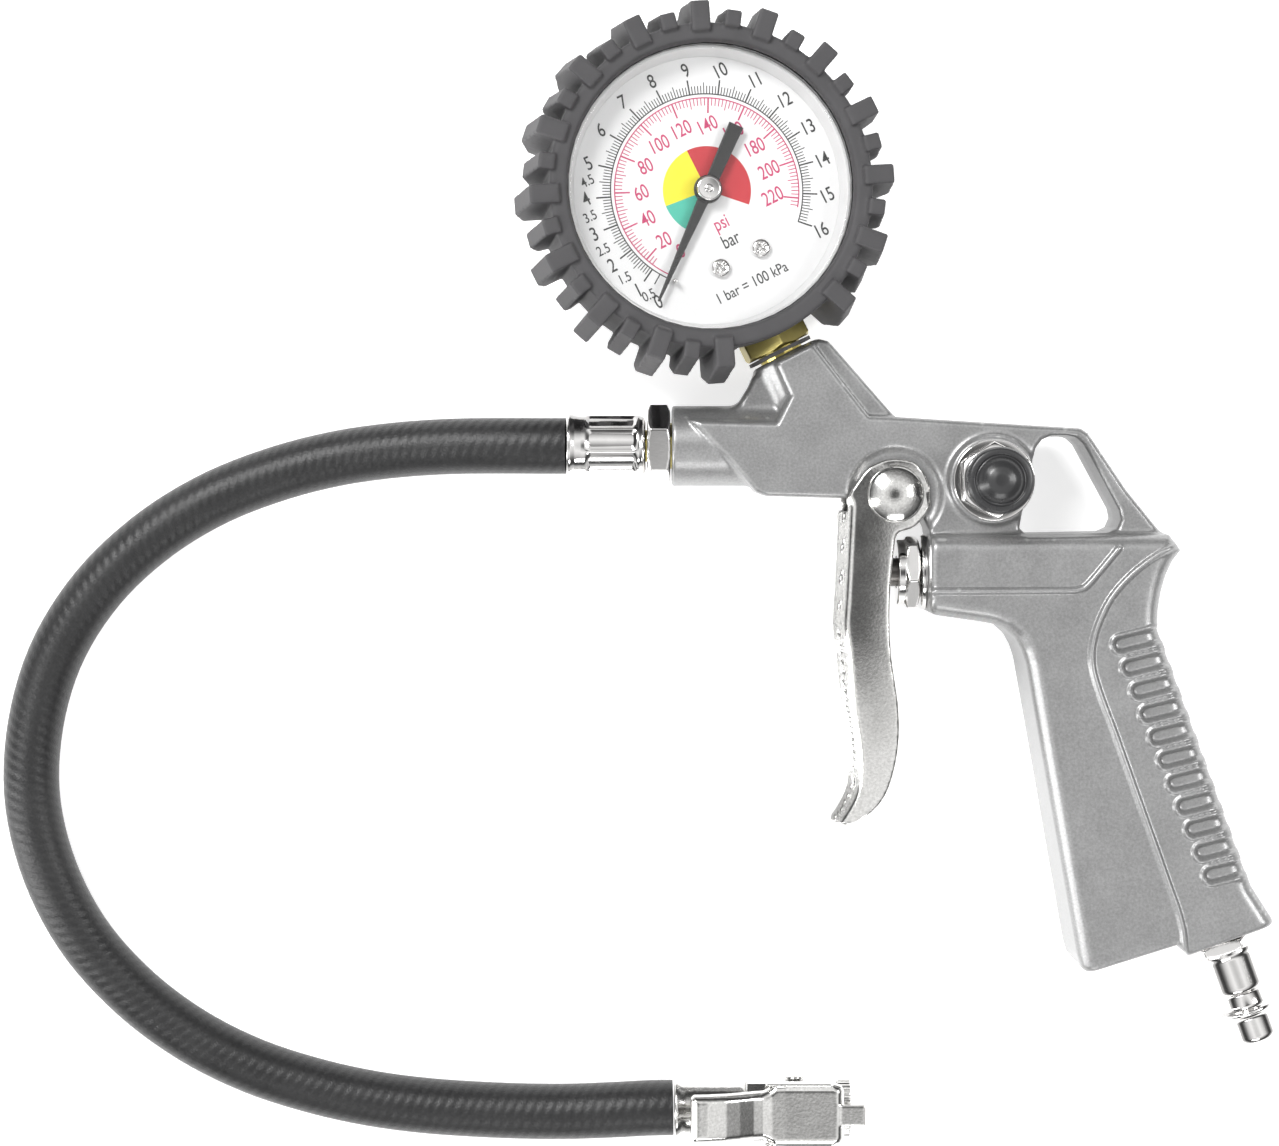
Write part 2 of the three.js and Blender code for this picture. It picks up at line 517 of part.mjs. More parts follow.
function gaugeSocket() {
  const seatY = -GAUGE_RISE;
  const hexLow = seatY + STEM_SEAL.thickness + 2 * GAP;
  const hexHigh = hexLow + STEM.hexLength;
  const { halfWidth, bottom, top, front, shelf } = BLOCK;
  const back = caseBack + CASE.wall + GAP;
  const block = solid(box(-halfWidth, halfWidth, bottom, top, back, front));
  const shelfTop = PLATE.back - GAP;
  const ledge = solid(box(-halfWidth, halfWidth, top - 0.5, top + shelf, back, shelfTop));
  const neck = solid(alongDown(rod(STEM.radius, -bottom - 0.5, -hexHigh + 0.5)));
  const hex = solid(alongDown(surface(hexBar(STEM.acrossFlats, -hexHigh, -hexLow, 0))));
  const thread = solid(alongDown(rod(STEM.radius, -hexLow - 0.5, -seatY + STEM.thread)));
  const bore = solid(alongDown(rod(STEM.bore, 18, 60, 12)));
  const screwHoles = [-1, 1].map((side) => solid(
    rod(DIAL_SCREW.shank + GAP, 1.5, 20, 12).translate(side * DIAL_SCREW.x, DIAL_SCREW.y, 0)));
  return cut(join(block, ledge, neck, hex, thread), bore, ...screwHoles);
}

const dialBack = BLOCK.front + GAP;
const dialFront = dialBack + DIAL.thickness;
const sectorPivot = polar((GEAR.module * (GEAR.sectorTeeth + GEAR.pinionTeeth)) / 2, GEAR.pivotAngle);
const tailPin = [0, 1].map((k) => sectorPivot[k] + polar(LINK.tail, LINK.tailAngle)[k]);
const tipAngle = TUBE.to + 6;
const tipPin = polar(TUBE.radius - 2.6, tipAngle);

// a spur gear's outline with plain narrow teeth, centred so that one tooth or gap points at `phase`
function gearOutline(teeth, from, count, phase) {
  const pitchRadius = (GEAR.module * teeth) / 2;
  const step = 360 / teeth;
  const tip = pitchRadius + GEAR.module * 0.7;
  const root = pitchRadius - GEAR.module * 1.2;
  const points = [];
  for (let i = 0; i < count; i += 1) {
    const middle = phase + (from + i) * step;
    points.push(polar(root, middle - step * 0.28), polar(tip, middle - step * 0.12),
      polar(tip, middle + step * 0.12), polar(root, middle + step * 0.28));
  }
  return points;
}

function movementPieces() {
  const [sx, sy] = sectorPivot;
  const { thickness } = GEAR;
  const pinionFacing = GEAR.pivotAngle;
  const sectorFacing = GEAR.pivotAngle + 180;
  const bar = (from, to, half) => {
    const [dx, dy] = [to[0] - from[0], to[1] - from[1]];
    const size = Math.hypot(dx, dy);
    const [nx, ny] = [(-dy / size) * half, (dx / size) * half];
    return [[from[0] + nx, from[1] + ny], [from[0] - nx, from[1] - ny],
      [to[0] - nx, to[1] - ny], [to[0] + nx, to[1] + ny]];
  };

  // sector: a toothed rim, two arms, a hub and a tail, about its own pivot
  const toothed = gearOutline(GEAR.sectorTeeth, -11, 13, sectorFacing);
  const rimInner = GEAR.module * GEAR.sectorTeeth / 2 - 1.9;
  const rimFrom = sectorFacing - 11.4 * 5;
  const rim = [...toothed];
  for (let i = 6; i >= 0; i -= 1) rim.push(polar(rimInner, rimFrom + (i * 13 * 5) / 6));
  const arms = [rimFrom + 3, rimFrom + 62].map((angle) =>
    plate(bar([0, 0], polar(7.6, angle), 0.7), 0, thickness));
  const tail = plate(bar([0, 0], polar(LINK.tail + 0.9, LINK.tailAngle), 0.9), 0, thickness);
  const sector = cut(join(plate(rim, 0, thickness), ...arms, tail, solid(rod(1.8, 0, thickness, 12))),
    solid(rod(ARBOR_RADIUS + GAP, -2, 3, 12)));

  const pinion = solid(prism(outline(gearOutline(GEAR.pinionTeeth, 0.5, GEAR.pinionTeeth, pinionFacing)),
    -GAP, thickness + GAP));
  const arborTop = POINTER.z + POINTER.thickness + 0.6;
  const arbor = join(pinion, solid(rod(ARBOR_RADIUS, PLATE.back + 0.2, arborTop, 10)));

  const platePoints = [[2.6, -10.4], [3.2, 2.6], [-1, 4.2], [-11, 7.2], [-13.6, 4.4], [-12.6, 0.4],
    [-6.2, -10.4]];
  const pillarSpots = [[1.2, -8.6], [-4.6, -8.6], [-10.2, 5.9]];
  const pivotHoles = [[0, 0], [sx, sy]].map(([x, y]) =>
    solid(rod(ARBOR_RADIUS + GAP, -10, 10, 12).translate(x, y, 0)));
  const plateAt = (z) => cut(plate(platePoints, z, z + PLATE.thickness), ...pivotHoles);
  const pillars = pillarSpots.map(([x, y], i) => piece(`movement_pillar_${i + 1}`,
    rod(0.9, PLATE.back + PLATE.thickness + GAP, PLATE.front - GAP, 10).translate(x, y, 0), brass));
  const sectorPin = rod(ARBOR_RADIUS, PLATE.back + 0.2, PLATE.front + PLATE.thickness - 0.2, 10)
    .translate(sx, sy, 0);

  const link = cut(plate(bar(tailPin, [tipPin[0], tipPin[1]], LINK.width / 2), LINK.z, LINK.z + LINK.thickness),
    solid(rod(0.4, -9, 9, 8).translate(...tailPin, 0)));

  class Spiral extends THREE.Curve {
    getPoint(t, target = new THREE.Vector3()) {
      const angle = 2 * Math.PI * 2.5 * t;
      const radius = 1.3 + 2.6 * t;
      return target.set(radius * Math.cos(angle), radius * Math.sin(angle), 0);
    }
  }
  const hairspring = wire(new Spiral(), 0.3, 0.14, 4, 36).translate(0, 0, 2.4);

  return [
    piece('movement_back_plate', plateAt(PLATE.back), brass),
    piece('movement_front_plate', plateAt(PLATE.front), brass),
    ...pillars,
    piece('sector_gear', move(surface(sector), sx, sy, 0), brass),
    piece('sector_pin', sectorPin, steel),
    piece('pinion_arbor', arbor, steel),
    piece('drive_link', link, steel),
    piece('hairspring', hairspring, steel),
  ];
}

function pointerShape() {
  const { z, thickness, length, tail, hub } = POINTER;
  const blade = plate([[0, 1.3], [-length, 0.25], [-length, -0.25], [0, -1.3], [tail, -1.6], [tail, 1.6]],
    z, z + thickness);
  return cut(join(blade, solid(rod(hub, z - 0.4, z + thickness + 0.4))),
    solid(rod(ARBOR_RADIUS + 0.1, -20, 20, 12)));
}

function gaugePieces() {
  const tubeCurve = new THREE.EllipseCurve(0, 0, TUBE.radius, TUBE.radius,
    THREE.MathUtils.degToRad(TUBE.from), THREE.MathUtils.degToRad(TUBE.to));
  const tubePath = new THREE.CatmullRomCurve3(
    tubeCurve.getPoints(24).map(({ x, y }) => new THREE.Vector3(x, y, 0)));
  const bourdon = wire(tubePath, TUBE.halfWidth, TUBE.halfThickness, 8, 40).translate(0, 0, TUBE.z);

  const tubeTip = box(-2.6, 1.2, -1.3, 1.3, -1.2, 1.2)
    .rotateZ(THREE.MathUtils.degToRad(tipAngle)).translate(...polar(TUBE.radius - 0.6, tipAngle), TUBE.z - 1);

  const pointerTurn = THREE.MathUtils.degToRad(90 - POINTER.rest);
  const lensBack = CASE.front + GAP;
  const capLow = POINTER.z + POINTER.thickness + 1.0;
  const seatY = -GAUGE_RISE;
  const screwProfile = [[0, 3], [DIAL_SCREW.shank, 3], [DIAL_SCREW.shank, dialFront + GAP],
    [DIAL_SCREW.head, dialFront + GAP], [DIAL_SCREW.head * 0.86, dialFront + 0.9],
    [DIAL_SCREW.head * 0.4, dialFront + 1.3], [0, dialFront + 1.3]];
  const screws = [1, -1].map((side, i) => piece(`dial_screw_${i + 1}`,
    turned(screwProfile, 12).translate(side * DIAL_SCREW.x, DIAL_SCREW.y, 0), chrome));
  const dial = cut(solid(rod(DIAL.radius, dialBack, dialFront, WIDE)), solid(rod(1.4, 0, 20, 12)),
    ...[-1, 1].map((side) => solid(rod(1.1, 0, 20, 12).translate(side * DIAL_SCREW.x, DIAL_SCREW.y, 0))));
  const lensRing = ring(LENS.radius + 0.4, CASE.radius, lensBack, BOOT.front - BOOT.lip - GAP, WIDE);
  const stopPin = rod(STOP_PIN.radius, dialFront + GAP, POINTER.z + 1.2, 10)
    .translate(...polar(STOP_PIN.at, -90 - STOP_PIN.angle), 0);
  const seal = alongDown(ring(STEM.radius + GAP, STEM_SEAL.radius, -seatY - GAP - STEM_SEAL.thickness,
    -seatY - GAP));

  const gauge = group('gauge',
    piece('gauge_boot', gaugeBoot(), rubber),
    piece('gauge_case', gaugeCase(), steel),
    piece('lens_ring', lensRing, blackPlastic),
    piece('gauge_lens', rod(LENS.radius, lensBack, lensBack + LENS.thickness, WIDE), clear),
    piece('gauge_dial', dial, dialWhite),
    piece('gauge_pointer', surface(pointerShape()).rotateZ(pointerTurn), blackPlastic),
    piece('pointer_hub', rod(HUB_CAP.radius, capLow, capLow + HUB_CAP.height), chrome),
    piece('pointer_stop_pin', stopPin, steel),
    ...screws,
    piece('gauge_socket', gaugeSocket(), brass),
    piece('stem_seal', seal, rubber),
    piece('bourdon_tube', bourdon, brass),
    piece('tube_tip', tubeTip, brass),
    ...movementPieces());
  gauge.position.set(GAUGE_SEAT[0] + GAUGE_RISE * stemUp[0], GAUGE_SEAT[1] + GAUGE_RISE * stemUp[1], 0);
  gauge.rotation.set(0, THREE.MathUtils.degToRad(GAUGE_TURN), THREE.MathUtils.degToRad(STEM_ANGLE), 'ZYX');
  return gauge;
}

// -------------------------------------------------------------------------------------- inlet plug

// laid out along +z, out of the grip's end
function inletPieces() {
  const washerLow = GAP;
  const hexLow = washerLow + NIPPLE_WASHER.thickness + GAP;
  const levels = [NIPPLE.hex, NIPPLE.shank, NIPPLE.neck, NIPPLE.ring, NIPPLE.tip]
    .reduce((all, length) => [...all, all[all.length - 1] + length], [hexLow]);
  const [, hexTop, shankTop, neckTop, ringTop, end] = levels;
  const { threadRadius } = NIPPLE;
  const turning = turned([[NIPPLE.bore, -NIPPLE.thread], [threadRadius, -NIPPLE.thread],
    [threadRadius, hexTop - 0.5], [NIPPLE.shankRadius, hexTop - 0.5], [NIPPLE.shankRadius, shankTop - 0.7],
    [NIPPLE.neckRadius, shankTop], [NIPPLE.neckRadius, neckTop], [NIPPLE.ringRadius, neckTop + 0.4],
    [NIPPLE.ringRadius, ringTop - 0.4], [NIPPLE.tipRadius, ringTop], [NIPPLE.tipRadius, end - 0.5],
    [NIPPLE.tipRadius - 0.5, end], [NIPPLE.bore, end]]);
  const hex = cut(hexBar(NIPPLE.acrossFlats, hexLow, hexTop, 18), solid(rod(NIPPLE.bore, -20, 40)));
  const inlet = group('inlet',
    piece('inlet_nipple', join(solid(turning), hex), chrome),
    piece('nipple_washer', ring(threadRadius + GAP, NIPPLE_WASHER.radius, washerLow,
      washerLow + NIPPLE_WASHER.thickness), chrome),
    piece('inlet_filter', rod(FILTER.radius, -NIPPLE.thread - GAP - FILTER.thickness,
      -NIPPLE.thread - GAP), brass));
  inlet.position.set(...INLET.foot, 0);
  inlet.quaternion.setFromUnitVectors(new THREE.Vector3(0, 0, 1), new THREE.Vector3(...inletDown, 0));
  return inlet;
}

function gripPlug() {
  const { x, y, radius, length } = GRIP_PLUG;
  const plug = turned([[0, -2.4], [radius, -2.4], [radius, length - 3.2], [radius * 0.6, length - 2.4],
    [0, length - 2.4]], 12);
  return alongDown(plug).rotateZ(THREE.MathUtils.degToRad(INLET.angle)).translate(x, y, 0);
}

// --------------------------------------------------------------------------------- hose and fitting

const nutFront = BARREL.muzzleX - GAP;
const ferruleFront = nutFront - HOSE_NUT.length - GAP;
const hoseExit = [ferruleFront - FERRULE.length - GAP, BARREL.y, 0];
const benchHeight = -GRIP_HALF + HOSE_RADIUS + 0.05;
const chuckAxis = -GRIP_HALF + CHUCK.flare;

// laid out along +z away from the muzzle, then turned to point along -x
function fittingPieces() {
  const place = (shape) => (shape.isBufferGeometry ? shape : surface(shape))
    .rotateY(-Math.PI / 2).translate(BARREL.muzzleX, BARREL.y, 0);
  const nutEnd = GAP + HOSE_NUT.length;
  const ferruleStart = nutEnd + GAP;
  const ferruleEnd = ferruleStart + FERRULE.length;
  const spigot = BARREL.threadRadius - GAP;
  const tailRadius = 3.4;
  const nut = cut(hexBar(HOSE_NUT.acrossFlats, GAP, nutEnd, 17), solid(rod(spigot + GAP, -5, 20)));
  const barbs = [];
  for (let i = 0; i < 3; i += 1) {
    const start = ferruleStart + 3.5 + i * 4;
    barbs.push([tailRadius, start], [tailRadius + 0.9, start], [tailRadius, start + 3]);
  }
  const tail = turned([[1.8, -8], [spigot, -8], [spigot, nutEnd - 0.2], [tailRadius, nutEnd - 0.2],
    ...barbs, [tailRadius - 0.4, ferruleEnd - 0.5], [1.8, ferruleEnd - 0.5]], 16);
  const ferrule = turned([[FERRULE.bore - 1.8, ferruleStart], [FERRULE.radius, ferruleStart],
    [FERRULE.radius, ferruleEnd - 2.6], [FERRULE.lipRadius, ferruleEnd - 0.6],
    [FERRULE.lipRadius, ferruleEnd], [FERRULE.bore, ferruleEnd], [FERRULE.bore, ferruleStart + 1.2],
    [FERRULE.bore - 1.8, ferruleStart + 1.2]]);
  return [
    piece('hose_nut', place(nut), chrome),
    piece('hose_tail', place(tail), brass),
    piece('hose_ferrule', place(ferrule), chrome),
  ];
}

// the hose's middle line: straight out of the ferrule, down onto the bench, round a wide C to the chuck
function hoseRoute() {
  const low = benchHeight;
  const end = [CHUCK.at[0] - GAP, CHUCK.at[1], chuckAxis];
  return [
    hoseExit, [-74.5, 10.3, -0.1], [-84.7, 10.35, -1.1], [-95.5, 10.2, -3.0], [-107.4, 9.4, -5.4],
    [-120.1, 7.6, -7.2], [-133.6, 4.1, low], [-147.6, -1.5, low], [-160.8, -9.8, low],
    [-172.4, -20.9, low], [-181.1, -34.6, low], [-185.8, -50.0, low], [-186.7, -66.2, low],
    [-183.1, -82.0, low], [-175.8, -96.4, low], [-165.2, -108.5, low], [-152.8, -118.0, low],
    [-139.4, -124.9, low], [-125.9, -129.4, low], [-113.1, -132.3, low], [-101.2, -133.9, low],
    [-90.1, -134.7, low], [-79.8, -135.1, low + 0.1], [-69.9, -135.1, low + 0.5],
    [-60, -134.6, low + 1.2], [-52, -134.1, chuckAxis], end,
  ].map((point) => new THREE.Vector3(...point));
}

function hose() {
  const curve = new THREE.CatmullRomCurve3(hoseRoute(), false, 'centripetal');
  curve.arcLengthDivisions = 1000;
  return wire(curve, HOSE_RADIUS, HOSE_RADIUS, 10, 36);
}

// --------------------------------------------------------------------------------------------- chuck

function chuckPieces() {
  const { flare, ferruleRadius, ferruleLength, halfWidth, bodyEnd, mouth, mouthDepth, capRadius, cap } = CHUCK;
  const ferruleBore = ferruleRadius - 0.9;
  const ferrule = alongX(turned([[ferruleBore, 0], [flare, 0], [flare, 0.8], [ferruleRadius, 3.4],
    [ferruleRadius, ferruleLength], [3.8, ferruleLength], [3.8, ferruleLength - 1.2],
    [ferruleBore, ferruleLength - 1.2]], FINE));
  const tail = alongX(turned([[1.6, 1], [2.9, 1], [3.4, 4], [2.9, 4.1], [3.4, 8], [2.9, 8.1],
    [3.4, 12], [3.4, ferruleLength + 0.6], [1.6, ferruleLength + 0.6]], 16));

  const bodyStart = ferruleLength + GAP;
  const section = outline([[-halfWidth, -4.2], [-4.2, -6.4], [4.2, -6.4], [halfWidth, -4.2],
    [halfWidth, 5.0], [4.6, 6.2], [-4.6, 6.2], [-halfWidth, 5.0]]);
  const block = solid(prism(section, bodyStart, bodyEnd).rotateX(Math.PI / 2).rotateZ(Math.PI / 2));
  const valveBore = solid(alongX(rod(5.2, bodyEnd - mouthDepth, bodyEnd + 1)));
  const airHole = solid(alongX(rod(1.6, 0, bodyEnd)));
  const tailSeat = solid(alongX(rod(3.4 + GAP, 0, bodyStart + 0.9, 16)));
  const pinHole = solid(alongY(rod(CHUCK_PIN.radius + SLIDE, -20, 20, 12))
    .translate(CHUCK_PIN.x, 0, CHUCK_PIN.z));
  const springX = CHUCK_LEVER.step + 0.6;
  const springSeat = solid(rod(CHUCK_SPRING.radius + 0.6, CHUCK_SPRING.floor, 20, 12).translate(springX, 0, 0));
  const body = cut(block, valveBore, airHole, tailSeat, springSeat);

  const capRing = cut(solid(alongX(rod(capRadius, bodyEnd + GAP, bodyEnd + cap, FINE))),
    solid(alongX(rod(mouth, 0, bodyEnd + 10))));
  const seal = alongX(ring(3.4, 5.0, bodyEnd - 2.6, bodyEnd - 0.2));
  const corePin = alongX(turned([[0, bodyEnd - mouthDepth + GAP], [2.4, bodyEnd - mouthDepth + GAP],
    [2.4, bodyEnd - mouthDepth + 1.2], [0.9, bodyEnd - mouthDepth + 1.2], [0.9, bodyEnd - 3.4],
    [0, bodyEnd - 3.4]], 12));

  // lever: a top sheet that rises towards the hose, two side flanges at the pin and a tongue
  const { sheet, flange, top, lift, narrow, wide, rear, bend, step } = CHUCK_LEVER;
  const sideLine = (z) => [[rear, z + lift], [bend, z + lift * 0.72], [step, z], [bodyEnd + 1.6, z]];
  const sheetSide = outline([...sideLine(top), ...sideLine(top + sheet).reverse()]);
  const strip = (half, x0, x1) => solid(prism(sheetSide, -half, half).rotateX(Math.PI / 2))
    .intersect(solid(box(x0, x1, -20, 20, -20, 30)));
  const flangeSide = outline([[step, top + 0.5], [bodyEnd - 1, top + 0.5], [bodyEnd - 1, top - 2.2],
    [CHUCK_PIN.x + 2.6, 0.9], [CHUCK_PIN.x - 2.6, 0.9], [step, top - 2.2]]);
  const flanges = [-wide, wide - flange].map((y) => solid(
    prism(flangeSide, 0, flange).rotateX(Math.PI / 2).translate(0, y + flange, 0)));
  const tongueHalf = CHUCK_LEVER.tongue;
  const tongue = solid(box(bodyEnd + 1.2, bodyEnd + cap + CHUCK_LEVER.proud, -tongueHalf, tongueHalf,
    top - 0.2, top + sheet - 0.2));
  const pinBore = solid(alongY(rod(CHUCK_PIN.radius + GAP, -20, 20, 12))
    .translate(CHUCK_PIN.x, 0, CHUCK_PIN.z));
  const lever = cut(join(strip(narrow, rear, step + 1.5), strip(wide, step + 1, bodyEnd + 1.6), ...flanges,
    tongue), pinBore);
  const bodyDrilled = cut(body, pinHole);

  const { radius, halfLength, x: pinX, z: pinZ } = CHUCK_PIN;
  const headInner = wide + GAP;
  const pin = alongY(turned([[0, -halfLength - 0.6], [radius + 0.9, -halfLength - 0.3],
    [radius + 0.9, -headInner], [radius, -headInner], [radius, headInner], [radius + 0.9, headInner],
    [radius + 0.9, halfLength + 0.3], [0, halfLength + 0.6]], 12)).translate(pinX, 0, pinZ);
  const coilEnd = CHUCK_SPRING.wire + GAP;
  const coilLow = CHUCK_SPRING.floor + coilEnd;
  const coil = spring(CHUCK_SPRING, top - coilEnd - coilLow).translate(springX, 0, coilLow);

  const chuck = group('chuck',
    piece('chuck_ferrule', ferrule, chrome),
    piece('chuck_tail', tail, brass),
    piece('chuck_body', bodyDrilled, chrome),
    piece('chuck_end_cap', capRing, chrome),
    piece('chuck_seal', seal, rubber),
    piece('core_pin', corePin, brass),
    piece('chuck_lever', lever, chrome),
    piece('chuck_pin', pin, chrome),
    piece('chuck_spring', coil, steel));
  chuck.position.set(...CHUCK.at, chuckAxis);
  return chuck;
}

// ------------------------------------------------------------------------------------ the assembly

const bleed = bleedPieces();
bleed.position.set(BLEED.x, BLEED.y, 0);

const gun = group('gun',
  piece('gun_body', gunBody(), castPaint),
  piece('trigger_lever', triggerLever(), chrome),
  piece('trigger_rivet', triggerRivet(), chrome),
  ...valvePieces(),
  bleed,
  gaugePieces(),
  inletPieces(),
  piece('grip_plug', gripPlug(), castPaint));

const line = group('hose line',
  ...fittingPieces(),
  piece('hose', hose(), rubber),
  chuckPieces());

// the origin is under the middle of the gun's and gauge's box, without the hose line, on the bench
gun.updateMatrixWorld(true);
const extent = new THREE.Box3().setFromObject(gun, true);
const middle = extent.getCenter(new THREE.Vector3());

const inflator = group('tyre inflator', gun, line);
inflator.position.set(-middle.x, -middle.y, -extent.min.z);

export default inflator;
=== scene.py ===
# %% [markdown]
# # A pistol tyre inflator with a gauge, a hose and a clip-on chuck
# The solids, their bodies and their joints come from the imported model. This script gives each visible
# piece its finer shape and its finish: a die-cast body, pressed and plated steel, a printed dial in a
# rubber boot, and a ribbed rubber hose. Lengths are written in millimetres and meshes are made in metres.

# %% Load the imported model
import json
import math

import bmesh
import bpy
import numpy as np
from mathutils import Matrix, Vector


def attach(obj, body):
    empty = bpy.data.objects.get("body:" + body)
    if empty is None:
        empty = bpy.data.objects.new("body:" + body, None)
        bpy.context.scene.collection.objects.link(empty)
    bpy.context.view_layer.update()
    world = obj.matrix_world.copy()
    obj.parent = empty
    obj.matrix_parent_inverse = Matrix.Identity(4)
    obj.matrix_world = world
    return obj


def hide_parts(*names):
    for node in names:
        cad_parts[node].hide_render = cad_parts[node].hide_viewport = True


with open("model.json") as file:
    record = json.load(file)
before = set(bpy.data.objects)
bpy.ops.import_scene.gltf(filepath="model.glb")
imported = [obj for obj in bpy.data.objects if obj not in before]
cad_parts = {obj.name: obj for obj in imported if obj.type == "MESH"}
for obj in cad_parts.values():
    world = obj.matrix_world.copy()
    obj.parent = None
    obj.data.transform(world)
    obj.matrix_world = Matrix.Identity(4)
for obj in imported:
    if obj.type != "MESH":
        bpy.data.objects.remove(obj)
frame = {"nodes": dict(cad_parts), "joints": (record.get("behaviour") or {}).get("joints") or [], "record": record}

MM = 0.001
JOINTS = {joint["name"]: joint for joint in frame["joints"]}
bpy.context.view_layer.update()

# %% [markdown]
# ## Places
# The pistol is laid out in its own plane, x forward to the grip and y up to the gauge, about the trigger's
# pivot. The gauge, the muzzle, the valve, the inlet and the chuck each have a frame of their own, with z
# along the axis that their round pieces turn about. A matrix for each puts a piece where it belongs.

# %% Frames of the pistol's parts
GUN = Matrix.Translation(JOINTS["trigger_pull"]["pos_m"])
STEM_ANGLE, GAUGE_TURN, INLET_ANGLE = 26.5, 6.5, 20


def at(x, y, z=0.0):
    """A place in the pistol's frame, in millimetres."""
    return GUN @ Matrix.Translation(Vector((x, y, z)) * MM)


def turn(degrees, axis):
    return Matrix.Rotation(math.radians(degrees), 4, axis)


DIAL = Matrix.Translation(JOINTS["pointer_turn"]["pos_m"]) @ turn(STEM_ANGLE, "Z") @ turn(GAUGE_TURN, "Y")
MUZZLE = at(-47.3, 10.3) @ turn(-90, "Y")
VALVE = at(7.5, -16.8) @ turn(90, "Y")
BLEED = at(20.6, 3.0)
INLET = at(71.0, -94.4) @ turn(INLET_ANGLE, "Z") @ turn(90, "X")
STEM = at(-23.8, 29.8) @ turn(STEM_ANGLE, "Z") @ turn(-90, "X")
CHUCK = at(-46.6, -134.0, -6.35)
print("dial centre", tuple(round(v, 4) for v in DIAL.translation))

# %% [markdown]
# ## The camera
# The pistol lies on its side and is seen from straight above the bench, a little more than half a metre
# up, through a lens long enough that the far hose and the near gauge keep nearly one scale.

# %% Camera
EYE_HEIGHT, VIEW_WIDTH, SENSOR = 650, 275.0, 36
eye = at(-54.2, 5.2, EYE_HEIGHT).translation
target = at(-54.2, -17.0).translation
camera = bpy.data.objects.new("camera", bpy.data.cameras.new("camera"))
camera.data.sensor_width = SENSOR
camera.data.lens = SENSOR * (target - eye).length / MM / VIEW_WIDTH
camera.location = eye
look = (target - eye).normalized()
right = Vector((1, 0, 0))
axes = Matrix((right, right.cross(look).normalized(), -look)).transposed()
camera.matrix_world = Matrix.Translation(eye) @ axes.to_4x4()
bpy.context.scene.collection.objects.link(camera)
bpy.context.scene.camera = camera
print("lens", round(camera.data.lens, 1), "mm")

# %% [markdown]
# ## Shader effects that several finishes share
# Castings, plating and rubber are never one flat value. Two node groups give them their small variation: one makes
# a fine grain with a height for bump, the other finds exposed edges and hollows by the mesh's curvature and breaks
# the edges up with noise, so that a highlight is painted on the edges and shade is painted in the hollows. Each
# material places them with its own numbers.

# %% Node helpers and shared groups
def new_group(name, inputs, outputs):
    tree = bpy.data.node_groups.new(name, "ShaderNodeTree")
    for label, value in inputs:
        socket = tree.interface.new_socket(label, in_out="INPUT", socket_type="NodeSocketFloat")
        socket.default_value = value
    for label in outputs:
        tree.interface.new_socket(label, in_out="OUTPUT", socket_type="NodeSocketFloat")
    return tree, tree.nodes.new("NodeGroupInput"), tree.nodes.new("NodeGroupOutput")


def maths(tree, operation, a, b=0.0, c=None, clamp=False):
    """A Math node whose inputs are sockets or numbers; gives its output socket."""
    node = tree.nodes.new("ShaderNodeMath")
    node.operation, node.use_clamp = operation, clamp
    for slot, value in zip(node.inputs, (a, b, c)):
        if isinstance(value, bpy.types.NodeSocket):
            tree.links.new(value, slot)
        elif value is not None:
            slot.default_value = value
    return node.outputs[0]


def noise(tree, scale, detail=3.0, rough=0.5, vector=None):
    node = tree.nodes.new("ShaderNodeTexNoise")
    node.inputs["Detail"].default_value, node.inputs["Roughness"].default_value = detail, rough
    if isinstance(scale, bpy.types.NodeSocket):
        tree.links.new(scale, node.inputs["Scale"])
    else:
        node.inputs["Scale"].default_value = scale
    if vector is None:
        vector = tree.nodes.new("ShaderNodeTexCoord").outputs["Object"]
    tree.links.new(vector, node.inputs["Vector"])
    return node.outputs["Fac"]


grain_tree, grain_in, grain_out = new_group(
    "fine grain", [("Per metre", 4000.0), ("Cloud per metre", 60.0)], ["Height", "Cloud"])
for source, detail, roughness, output in (("Per metre", 2.0, 0.6, "Height"),
                                          ("Cloud per metre", 4.0, 0.55, "Cloud")):
    grain_tree.links.new(noise(grain_tree, grain_in.outputs[source], detail, roughness),
                         grain_out.inputs[output])

# The first output marks convex edges, broken up by noise, where a lighter tone is painted as a highlight; the
# second marks concave hollows, where a darker tone is painted as shade.
light_shade_tree, light_shade_in, light_shade_out = new_group(
    "painted edge highlight and hollow shade", [("Amount", 1.0), ("Noise per metre", 500.0)], ["Edge", "Hollow_shade"])
OUTSIDE_BEND, INSIDE_BEND, BEND_GAIN = 0.53, 0.48, 9.0
pointiness = light_shade_tree.nodes.new("ShaderNodeNewGeometry").outputs["Pointiness"]
edge, hollow = (maths(light_shade_tree, "MULTIPLY", maths(light_shade_tree, "SUBTRACT", a, b), BEND_GAIN, clamp=True)
                for a, b in ((pointiness, OUTSIDE_BEND), (INSIDE_BEND, pointiness)))
broken = maths(light_shade_tree, "MULTIPLY", edge, noise(light_shade_tree, light_shade_in.outputs["Noise per metre"], 3.0, 0.6))
edge_highlight_mask = maths(light_shade_tree, "MULTIPLY", broken, light_shade_in.outputs["Amount"], clamp=True)
light_shade_tree.links.new(edge_highlight_mask, light_shade_out.inputs["Edge"])
light_shade_tree.links.new(hollow, light_shade_out.inputs["Hollow_shade"])
print("groups", [tree.name for tree in bpy.data.node_groups])
